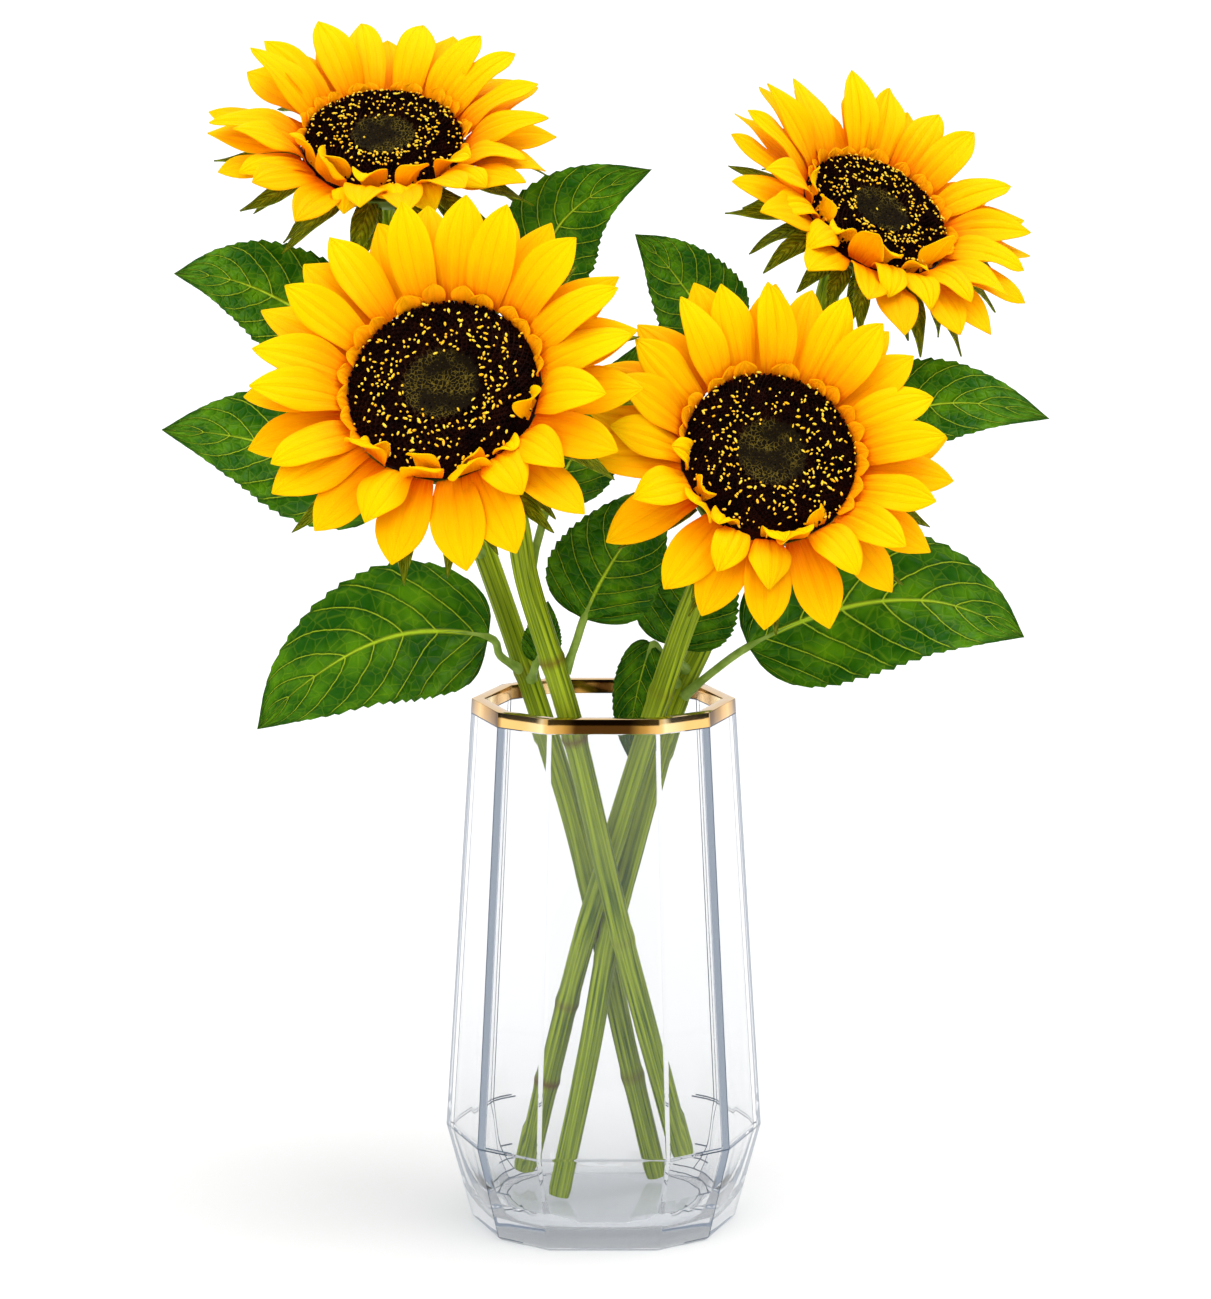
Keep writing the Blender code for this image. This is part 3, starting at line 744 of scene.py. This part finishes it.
def lay_blade(head, angle, root, length, width, lean, outline, arch, crease, twist, sway, wave, tone):
    """A copy of the blade on the head; root is (radius, height), lean its slopes at root and tip."""
    steps = np.linspace(0.0, 1.0, 41)
    slopes = np.radians(lean[0] + (lean[1] - lean[0]) * steps)
    radii = root[0] + np.concatenate(([0.0], np.cumsum(np.cos(slopes[:-1])))) * length / 40
    heights = root[1] + np.concatenate(([0.0], np.cumsum(np.sin(slopes[:-1])))) * length / 40
    r, z = np.interp(ALONG, steps, radii), np.interp(ALONG, steps, heights)
    slope = np.interp(ALONG, steps, slopes)
    half = width / 2 * np.interp(ALONG, *outline)
    side = ACROSS * half
    full = np.sin(np.pi * np.clip(ALONG, 0, 1)) ** 0.6
    lift = arch * half * ACROSS ** 2 * full
    lift += crease * np.abs(np.sin(2 * np.pi * ACROSS)) * full * (1 - ACROSS ** 2)
    lift += wave * np.sin(ALONG * 7.0 + tone * 9.0) * ACROSS * np.abs(ACROSS) * full
    turned = np.radians(twist) * ALONG
    side, lift = (side * np.cos(turned) - lift * np.sin(turned),
                  side * np.sin(turned) + lift * np.cos(turned))
    side = side + sway * length * ALONG ** 2
    places = head.at(angle, r - lift * np.sin(slope), z + lift * np.cos(slope), side) * MM
    copy = BLADE.copy()
    copy.data = BLADE.data.copy()
    bpy.context.scene.collection.objects.link(copy)
    copy.data.vertices.foreach_set("co", places.ravel())
    store(copy, "tone", np.full(len(places), tone))
    return copy


def finish_row(name, blades, thickness):
    """Joins a row of blades, turns their faces up and gives them their thickness."""
    row = joined(name, blades)
    apply_modifier(row, "SOLIDIFY", thickness=thickness * MM, offset=-1.0)
    smooth(row, 60)
    return row


# %% [markdown]
# The outer row lies nearly flat and points outward. The inner row stands up first and then bends out,
# and on the near side it folds over sharply. A third row of small orange blades hugs the disc.

# %% Petal rows
LARGEST_DISC = 38.5  # widths and lengths below are for this disc radius, and shrink on a smaller head
RAYS, SHORT_RAYS = 18, 26


def build_rays(head):
    draw = np.random.default_rng(sum(map(ord, head.name)))
    scale = head.radius / LARGEST_DISC
    reach = head.reach - head.radius
    upward = min(max((head.z[2] - 0.56) / 0.28, 0.0), 1.0)
    rows = {"outer": [], "inner": [], "short": []}
    for i in range(RAYS):
        angle = head.turn + 2 * math.pi * i / RAYS + draw.normal(0, 0.045)
        near, above = head.nearness(angle), i % 2
        slopes = (12 + 6 * above + 36 * near * upward + draw.normal(0, 4),
                  -4 - 18 * near * (1 - upward) + 8 * near * upward + draw.normal(0, 7))
        rows["outer"].append(lay_blade(
            head, angle, (head.radius + 0.8, -3.8 + 1.0 * above),
            reach * (1 + head.far * math.sin(angle)) * draw.uniform(0.93, 1.04),
            21.0 * scale * draw.uniform(0.9, 1.06), slopes, PETAL_OUTLINE,
            arch=draw.uniform(-0.10, 0.24), crease=0.8, twist=draw.normal(0, 11),
            sway=draw.normal(0, 0.05), wave=1.3, tone=draw.uniform(-1, 1)))
    for i in range(RAYS):
        angle = head.turn + 0.2 + 2 * math.pi * i / RAYS + draw.normal(0, 0.045)
        near, above = head.nearness(angle), i % 2
        standing = near > 0.3 and draw.random() < 0.3 + 0.15 * upward
        slopes = (42 + 5 * above + 28 * near + draw.normal(0, 4), 2 - 52 * near + draw.normal(0, 8))
        length = reach * (1 + head.far * math.sin(angle)) * draw.uniform(0.90, 1.0) * (1 - 0.28 * near)
        if standing:
            slopes = (84 + draw.normal(0, 8), 52 + draw.normal(0, 12))
            length = length * 0.8
        rows["inner"].append(lay_blade(
            head, angle, (head.radius + 0.6, -1.8 + 0.6 * above), length,
            (19.5 - 2.0 * near) * scale * draw.uniform(0.9, 1.06), slopes, PETAL_OUTLINE,
            arch=draw.uniform(-0.05, 0.30) - 0.35 * near, crease=0.9, twist=draw.normal(0, 10 + 10 * near),
            sway=draw.normal(0, 0.05), wave=1.6, tone=draw.uniform(-1, 1)))
    for i in range(SHORT_RAYS):
        angle = 2 * math.pi * i / SHORT_RAYS + draw.normal(0, 0.06)
        near = head.nearness(angle)
        if near < 0.25:
            rows["short"].append(lay_blade(
                head, angle, (head.radius - 0.4, -1.0), draw.uniform(6.5, 9.0) * scale,
                10.5 * scale * draw.uniform(0.85, 1.15),
                (74 + draw.normal(0, 5), 42 + draw.normal(0, 6)), PETAL_OUTLINE,
                arch=0.25, crease=0.3, twist=draw.normal(0, 9),
                sway=draw.normal(0, 0.06), wave=0.6, tone=draw.uniform(-1, 1)))
        elif i % 2:
            rows["inner"].append(lay_blade(
                head, angle, (head.radius - 0.6, -1.0), draw.uniform(12.0, 22.0) * scale + 4.0 * upward,
                (13.0 + 3.5 * upward) * scale * draw.uniform(0.85, 1.15),
                (88 + draw.normal(0, 9), 40 + draw.normal(0, 30)), PETAL_OUTLINE,
                arch=0.25 + draw.normal(0, 0.15), crease=0.9, twist=draw.normal(0, 22),
                sway=draw.normal(0, 0.14), wave=1.6, tone=draw.uniform(1.0, 2.4)))
    for kind, finish, slot in (("outer", PETAL_GOLDEN, "petal_golden"),
                               ("inner", PETAL_YELLOW, "petal_yellow"),
                               ("short", PETAL_ORANGE, "petal_golden")):
        node = "rays_outer_" if kind == "outer" else "rays_inner_"
        row = finish_row(f"rays_{kind}_{head.name}_petals", rows[kind], 0.45)
        hand_over(row, finish, slot, node + head.name)


# %% [markdown]
# Bracts are the green points behind the petals. They droop, and their tips reach out past the rays
# on the lower side. The receptacle under them is the swollen end of the stalk.

# %% Bracts and receptacle


def build_bracts(head):
    draw = np.random.default_rng(sum(map(ord, head.name)) + 7)
    scale = head.radius / LARGEST_DISC
    blades = []
    for count, radius, height, lean, length, width in ((14, 0.8, -7.2, (-4, -20), 39.0, 11.0),
                                                       (12, -2.5, -11.5, (-18, -42), 31.0, 10.5)):
        for i in range(count):
            angle = head.turn + 2 * math.pi * (i + 0.5 * (radius < 0)) / count + draw.normal(0, 0.05)
            blades.append(lay_blade(
                head, angle, (head.radius + radius, height), length * scale * draw.uniform(0.88, 1.08),
                width * scale * draw.uniform(0.9, 1.1),
                (lean[0] + draw.normal(0, 4), lean[1] + draw.normal(0, 8)), BRACT_OUTLINE,
                arch=draw.uniform(0.1, 0.4), crease=0.3, twist=draw.normal(0, 14),
                sway=draw.normal(0, 0.10), wave=0.9, tone=draw.uniform(-1, 1)))
    row = finish_row("bracts_" + head.name + "_points", blades, 0.6)
    hand_over(row, BRACT_GREEN, "bract_green", "bracts_" + head.name)


def build_receptacle(head):
    outline = ((1.0, -6.3), (0.99, -9.0), (0.93, -12.0), (0.82, -15.0), (0.66, -18.0), (0.48, -20.6),
               (0.34, -22.8), (0.25, -24.8), (0.20, -26.2), (0.17, -27.0))
    sides = 48
    cup = start_ring("receptacle_" + head.name + "_cup", head.ring(head.radius, outline[0][1], sides))
    for share, height in outline[1:]:
        ring = []
        for i in range(sides):
            rib = 1.0 + 0.02 * math.sin(i * 2 * math.pi / sides * 12)
            ring.append(Vector(head.at(2 * math.pi * i / sides, head.radius * share * rib, height)) * MM)
        pull_ring(cup, ring)
    end_rings(cup)
    smooth(cup, 40)
    hand_over(cup, RECEPTACLE_GREEN, "bract_green", "receptacle_" + head.name)


RECEPTACLE_GREEN = plain_speckled("receptacle_green", (0.09, 0.15, 0.015), (0.17, 0.24, 0.04), 0.5, 220.0)

# %% [markdown]
# ## The disc
# A real disc holds many hundred florets on two sets of spirals, each one a golden angle on from the
# last. That one rule places them all here: a dark bud at every step, and golden pollen on many of
# the open ones in the outer part. Bud and pollen grain are each modelled once, with few faces.

# %% Disc surface
GOLDEN_ANGLE = math.pi * (3 - math.sqrt(5))
FLORETS = 1100
CLOSED_UNTIL, OPEN_FROM = 0.40, 0.42  # shares of the disc's radius
DOME_SHARE = (0.0, 0.12, 0.30, 0.42, 0.56, 0.70, 0.82, 0.90, 0.96, 1.0)
DOME_HEIGHT = (1.6, 1.7, 2.4, 3.4, 4.3, 4.4, 3.6, 2.3, 0.8, -0.8)


def dome_height(share):
    return np.interp(share, DOME_SHARE, DOME_HEIGHT)


def build_dome(head):
    """The disc's own surface, from its back round the edge to the middle of its face."""
    sides = 56
    dome = start_ring("disc_" + head.name + "_dome", head.ring(head.radius * 0.93, -6.0, sides))
    pull_ring(dome, head.ring(head.radius * 1.0, -3.6, sides))
    for share in (1.0, 0.96, 0.90, 0.82, 0.70, 0.56, 0.42, 0.30, 0.18, 0.08, 0.02):
        pull_ring(dome, head.ring(head.radius * share * 0.985, float(dome_height(share)), sides))
    end_rings(dome)
    places = np.array([v.co for v in dome.data.vertices]) / MM - head.middle
    out = np.hypot(places @ head.x, places @ head.y) / head.radius
    store(dome, "share", out)
    smooth(dome, 40)
    return dome


# %% Florets and pollen, modelled once
pick()
bpy.ops.mesh.primitive_cone_add(vertices=6, radius1=0.5, radius2=0.30, depth=1.0)
BUD = bpy.context.object
bpy.ops.object.mode_set(mode="EDIT")
bpy.ops.mesh.select_all(action="DESELECT")
mesh = bmesh.from_edit_mesh(BUD.data)
for face in mesh.faces:
    face.select = face.normal.z > 0.9
bmesh.update_edit_mesh(BUD.data)
bpy.ops.mesh.inset(thickness=0.12)
bpy.ops.transform.translate(value=(0, 0, -0.25))
bpy.ops.object.mode_set(mode="OBJECT")
pick()
bpy.ops.mesh.primitive_ico_sphere_add(subdivisions=1, radius=0.5)
GRAIN = bpy.context.object


def scattered(name, model, matrices):
    """Many copies of one small model as a single mesh."""
    points = np.array([v.co for v in model.data.vertices])
    faces = [tuple(face.vertices) for face in model.data.polygons]
    places = np.concatenate([points @ turn.T + move for turn, move in matrices])
    count = len(points)
    mesh = bpy.data.meshes.new(name)
    mesh.from_pydata((places * MM).tolist(), [],
                     [tuple(v + k * count for v in face) for k in range(len(matrices)) for face in faces])
    made = bpy.data.objects.new(name, mesh)
    bpy.context.scene.collection.objects.link(made)
    smooth(made, 60)
    return made


def axes_at(head, angle, tilt):
    """Axes of a floret: sideways, round the disc, and out of its surface, leaning outward by tilt."""
    out = math.cos(angle) * head.x + math.sin(angle) * head.y
    up = head.z * math.cos(tilt) + out * math.sin(tilt)
    across = -math.sin(angle) * head.x + math.cos(angle) * head.y
    return np.cross(across, up), across, up


def pollen_chance(share):
    """How likely a floret this far out carries pollen: rarely in the closed middle, often outside it."""
    if share > OPEN_FROM:
        return 0.38 + 0.14 * math.cos((share - 0.48) * 9)
    return 0.12 if share > 0.36 else 0.012


def build_disc(head):
    draw = np.random.default_rng(sum(map(ord, head.name)) + 31)
    scale = head.radius / LARGEST_DISC
    buds, closed, grains = [], [], []
    for n in range(FLORETS):
        share = math.sqrt((n + 0.5) / FLORETS) * 0.975
        angle = n * GOLDEN_ANGLE
        middle = share < CLOSED_UNTIL
        size = (1.0 if middle else 1.95) * scale * draw.uniform(0.85, 1.15)
        tall = (0.7 if middle else 2.0) * draw.uniform(0.8, 1.2)
        out, across, up = axes_at(head, angle, 0.9 * max(share - 0.55, 0.0) + draw.normal(0, 0.06))
        spot = head.at(angle, share * head.radius, float(dome_height(share)) + 0.15 * tall)
        (closed if middle else buds).append((np.column_stack((out * size, across * size, up * tall)), spot))
        if draw.random() < pollen_chance(share):
            width = draw.uniform(0.8, 1.25) * scale
            long = width * (draw.uniform(1.5, 2.7) if draw.random() < 0.5 else 1.0)
            roll = draw.uniform(0, math.pi)
            a = out * math.cos(roll) + across * math.sin(roll)
            b = across * math.cos(roll) - out * math.sin(roll)
            place = spot + up * (0.62 * tall) + out * draw.normal(0, 0.45) + across * draw.normal(0, 0.45)
            grains.append((np.column_stack((a * long, b * width, up * width)), place))
    dome = build_dome(head)
    hand_over(dome, DISC_BROWN, "disc_brown", "disc_" + head.name)
    for part, model, places, finish in (("florets", BUD, buds, FLORET_BROWN),
                                        ("closed_florets", BUD, closed, FLORET_OLIVE),
                                        ("pollen", GRAIN, grains, POLLEN_GOLD)):
        field = scattered(f"disc_{head.name}_{part}", model, places)
        hand_over(field, finish, "disc_brown", "disc_" + head.name)


# %% All four heads
for flower in HEADS:
    head = Head(flower)
    build_receptacle(head)
    build_bracts(head)
    build_rays(head)
    build_disc(head)
for model in (BLADE, BUD, GRAIN):
    bpy.data.objects.remove(model, do_unlink=True)

# %% [markdown]
# ## Leaves
# A sunflower leaf is broad near its stalk and drawn out to a point, with a toothed edge, a strong
# midrib and pockets between its side veins. Each leaf starts as a fine grid, is shaped flat, and is
# then laid along its own centre line, cupped a little along the midrib. The stalk is a short stem.

# %% Leaf places
LEAVES = {
    "lower_left": ("back_left", 232, (
        (-43, 10, 239), (-48, 4, 248), (-76, -8, 252), (-100, -14, 246), (-125, -15, 230),
        (-143, -12, 212)), 62.0, (-0.15, -0.90, 0.40)),
    "mid_left": ("back_left", 279, (
        (-63, 14, 292), (-88, 4, 308), (-113, 0, 318), (-138, -3, 329), (-159, -6, 334),
        (-181, -8, 336)), 57.0, (0.0, -0.85, 0.52)),
    "upper_left": ("back_left", 344, (
        (-84, 31, 357), (-97, 24, 366), (-121, 16, 380), (-141, 12, 391), (-158, 8, 397),
        (-176, 4, 399)), 52.0, (0.0, -0.80, 0.60)),
    "top_centre": ("back_left", 353, (
        (-56, 55, 372), (-38, 53, 388), (-26, 51, 403), (-16, 49, 418), (-1, 46, 430),
        (20, 42, 439)), 46.0, (0.1, -0.90, 0.42)),
    "top_right": ("back_right", 338, (
        (62, 28, 352), (50, 22, 365), (42, 18, 379), (34, 14, 391), (24, 10, 404),
        (13, 6, 415)), 44.0, (0.2, -0.90, 0.38)),
    "right": ("back_right", 317, (
        (92, 26, 325), (110, 16, 333), (122, 10, 340), (139, 5, 345), (160, 1, 345),
        (183, -3, 340)), 44.0, (0.1, -0.85, 0.52)),
    "lower_right": ("back_right", 222, (
        (45, 4, 233), (60, -2, 245), (83, -8, 257), (109, -13, 265), (135, -16, 266),
        (156, -17, 260), (173, -15, 251)), 64.0, (0.15, -0.92, 0.36)),
    "centre": ("front_left", 239, (
        (-11, -37, 253), (-8, -35, 262), (-2, -32, 275), (6, -28, 288), (16, -23, 302),
        (28, -17, 315)), 48.0, (0.0, -0.93, 0.37)),
    "behind_right": ("back_right", 231, (
        (29, -1, 241), (28.5, -6, 246), (33, -8, 259), (38, -8, 271), (44, -7, 284),
        (50, -6, 297)), 44.0, (0.0, -0.97, 0.24)),
    "in_vase": ("back_right", 225, (
        (24, 1, 241), (20, -3.5, 246), (16, -6, 235), (13, -6, 222), (11, -6, 210),
        (10, -6, 199.5)), 22.0, (0.1, -0.99, 0.1)),
    "behind_left": ("front_left", 283, (
        (-26, -40, 297), (-22, -36, 310), (-14, -31, 325), (-4, -26, 340), (7, -21, 356),
        (17, -16, 374)), 38.0, (0.1, -0.93, 0.36)),
    "small": ("back_left", 227, (
        (-29, 8, 233), (-28, 6, 237), (-26, 5, 244), (-25, 5, 250), (-24, 5, 257),
        (-23, 5, 263)), 17.0, (0.0, -0.99, 0.15)),
}
BLADE_START = 2  # the blade starts at this point of the whole line, counted from the stem
STALK_SUNK = 1.2  # the stalk starts this far under the skin of its stem
LEAF_ROUND, LEAF_POINT = 0.5, 1.05
TEETH, TOOTH_DEPTH = 19, 0.07

# %% Leaf blade and stalk


def leaf_width(along):
    """Half width along the blade, as a share of its widest half: round base, drawn-out tip."""
    widest = LEAF_ROUND / (LEAF_ROUND + LEAF_POINT)
    along = np.clip(along, 0.0, 1.0)
    return (along / widest) ** LEAF_ROUND * ((1 - along) / (1 - widest)) ** LEAF_POINT


def leaf_line(name):
    """A leaf's centre line, started just under the skin of the stem that carries it."""
    stem, height, points = LEAVES[name][:3]
    line = stem_line(stem)
    low, high = 0.0, 1.0
    for _ in range(30):
        t = (low + high) / 2
        low, high = (t, high) if curve_point(line, t).z < height else (low, t)
    middle, along = curve_point(line, low), curve_tangent(line, low)
    away = Vector(points[0]) - middle
    away = (away - along * away.dot(along)).normalized()
    return [tuple(middle + away * (stem_radius(low) - STALK_SUNK))] + list(points)


def build_blade(name):
    line = leaf_line(name)
    width, facing = LEAVES[name][3:]
    start = BLADE_START / (len(line) - 1)
    face = Vector(facing).normalized()
    pick()
    bpy.ops.mesh.primitive_grid_add(x_subdivisions=20, y_subdivisions=85, size=2.0)
    leaf = bpy.context.object
    flat = np.array([v.co for v in leaf.data.vertices])
    across, along = flat[:, 0], (flat[:, 1] + 1) / 2
    tooth = (along * TEETH) % 1.0
    fullness = np.sin(np.pi * np.clip(along, 0.04, 0.97))
    notch = 1.0 - TOOTH_DEPTH * (1.0 - tooth) * fullness * (np.abs(across) > 0.93)
    side = across * leaf_width(along) * width / 2 * notch
    swept = (along - VEIN_SWEEP * np.abs(across) ** VEIN_BEND) * VEIN_PAIRS
    pocket = np.abs(np.sin(np.pi * (swept - 0.5)))
    body = np.clip(leaf_width(along), 0, 1)
    lift = 0.14 * np.abs(side) + width * 0.022 * (pocket - 0.5) * body * np.sin(np.pi * np.abs(across))
    lift += width * 0.012 * np.sin(along * 19 + across * 3) * across ** 2 * body
    rows = np.unique(np.round(along, 6))
    places = np.zeros_like(flat)
    for row in rows:
        t = start + (1 - start) * row
        centre, tangent = curve_point(line, t), curve_tangent(line, t, 0.08)
        out = tangent.cross(face).normalized()
        up = out.cross(tangent)
        chosen = np.abs(along - row) < 1e-5
        places[chosen] = (np.array(centre) + side[chosen, None] * np.array(out)
                          + lift[chosen, None] * np.array(up))
    leaf.data.vertices.foreach_set("co", (places * MM).ravel())
    leaf.name = "leaf_" + name + "_blade"
    apply_modifier(leaf, "SOLIDIFY", thickness=0.0006, offset=0.0)
    smooth(leaf, 60)
    return leaf


def build_stalk(name):
    """The leaf's stalk, a thin round stem that runs on under the first part of the midrib."""
    line = leaf_line(name)
    face = Vector(LEAVES[name][4]).normalized()
    start = BLADE_START / (len(line) - 1)
    rings = []
    for k in range(22):
        share = k / 21
        t = share * (start + 0.55 * (1 - start))
        past = max(t - start, 0) / (1 - start)
        radius = 1.7 * (1 - 1.55 * past) + 0.8 * max(1 - 7 * share, 0)
        centre, along = curve_point(line, t), curve_tangent(line, t, 0.03)
        side = along.cross(face).normalized()
        up = side.cross(along)
        centre = centre - up * min(past * 40, 1.0) * 0.9
        rings.append([(centre + radius * (math.cos(a) * side + math.sin(a) * up)) * MM
                      for a in (2 * math.pi * i / 12 for i in range(12))])
    stalk = start_ring("leaf_" + name + "_stalk", rings[0])
    for ring in rings[1:]:
        pull_ring(stalk, ring)
    end_rings(stalk)
    smooth(stalk, 60)
    return stalk


STALK_GREEN = plain_speckled("stalk_green", (0.17, 0.28, 0.03), (0.26, 0.38, 0.06), 0.45, 160.0)
for name in LEAVES:
    hand_over(build_blade(name), LEAF_GREEN, "leaf_green", "leaf_" + name)
    hand_over(build_stalk(name), STALK_GREEN, "leaf_green", "leaf_" + name)

# %% [markdown]
# ## Floor, light and camera
# The bunch stands on a plain white surface in soft light. The main light comes from the upper right,
# so the soft shadow falls to the left. The world behind the glass is white. Towards the sides it has
# dark strips between white ones, as between tall studio lights. They draw grey lines along the edges of the
# glass, beside its painted dark edges and painted grey glow, and dark bands in the gold, beside the painted
# reflection bands in its colour.

# %% Floor
pick()
bpy.ops.mesh.primitive_plane_add(size=60.0, location=(0, 0, 0))
floor = bpy.context.object
floor.name = "floor"
floor_finish, floor_tree, floor_shader = new_finish("floor_white", 0.8)
floor_shader.inputs["Base Color"].default_value = (0.84, 0.84, 0.84, 1.0)
floor_shader.inputs["Specular IOR Level"].default_value = 0.0
floor.data.materials.append(floor_finish)

# %% World
world = bpy.data.worlds.new("studio")
bpy.context.scene.world = world
world.use_nodes = True
sky = world.node_tree
backdrop = sky.nodes["Background"]
direction = add(sky, "ShaderNodeTexCoord").outputs["Generated"]
parts = add(sky, "ShaderNodeSeparateXYZ", {0: direction})
sideways = maths(sky, "ABSOLUTE", parts.outputs[0])
backward = maths(sky, "MULTIPLY", parts.outputs[1], -1.0)
bearing = maths(sky, "DIVIDE", maths(sky, "ARCTAN2", sideways, backward), math.pi)
white, slate, ash = (1.0, 1.0, 1.0), (0.02, 0.03, 0.05), (0.08, 0.08, 0.08)
around = ramp(sky, bearing, [
    (0.0, ash), (0.09, ash), (0.14, white), (0.25, white), (0.28, slate), (0.33, slate), (0.35, white),
    (0.40, white), (0.42, slate), (0.54, (0.06, 0.08, 0.12)), (0.56, white), (0.59, white),
    (0.61, (0.22, 0.26, 0.32)), (0.68, (0.50, 0.55, 0.62)), (0.72, white), (1.0, white)])
above = blend(sky, fade(sky, parts.outputs[2], 0.35, 0.80), around, (1.0, 1.0, 1.0))
sky.links.new(above, backdrop.inputs["Color"])
backdrop.inputs["Strength"].default_value = 0.85

# %% Lights


def sun(name, from_direction, strength, spread, mirrored=True):
    """Even light from one direction; spread in degrees softens its shadow."""
    pick()
    bpy.ops.object.light_add(type="SUN", location=Vector(from_direction))
    lamp = bpy.context.object
    lamp.name = name
    lamp.data.energy = strength
    lamp.data.angle = math.radians(spread)
    lamp.rotation_euler = Vector(from_direction).to_track_quat("Z", "Y").to_euler()
    lamp.visible_glossy = mirrored
    print("lamp", name, "strength", strength)


sun("key", (0.45, -0.30, 1.6), 2.0, 50.0)
sun("fill", (-0.7, -1.6, 0.8), 1.42, 60.0, mirrored=False)

# %% Camera
pick()
bpy.ops.object.camera_add(location=(0.0008, -2.0, 0.5787), rotation=(math.radians(90 - 9.517), 0, 0))
camera = bpy.context.object
camera.data.lens = 135.63
camera.data.sensor_width = 36.0
camera.data.sensor_fit = "AUTO"
bpy.context.scene.camera = camera
bpy.context.scene.view_settings.view_transform = "Standard"
print("camera", tuple(round(v, 3) for v in camera.location), "lens", camera.data.lens)
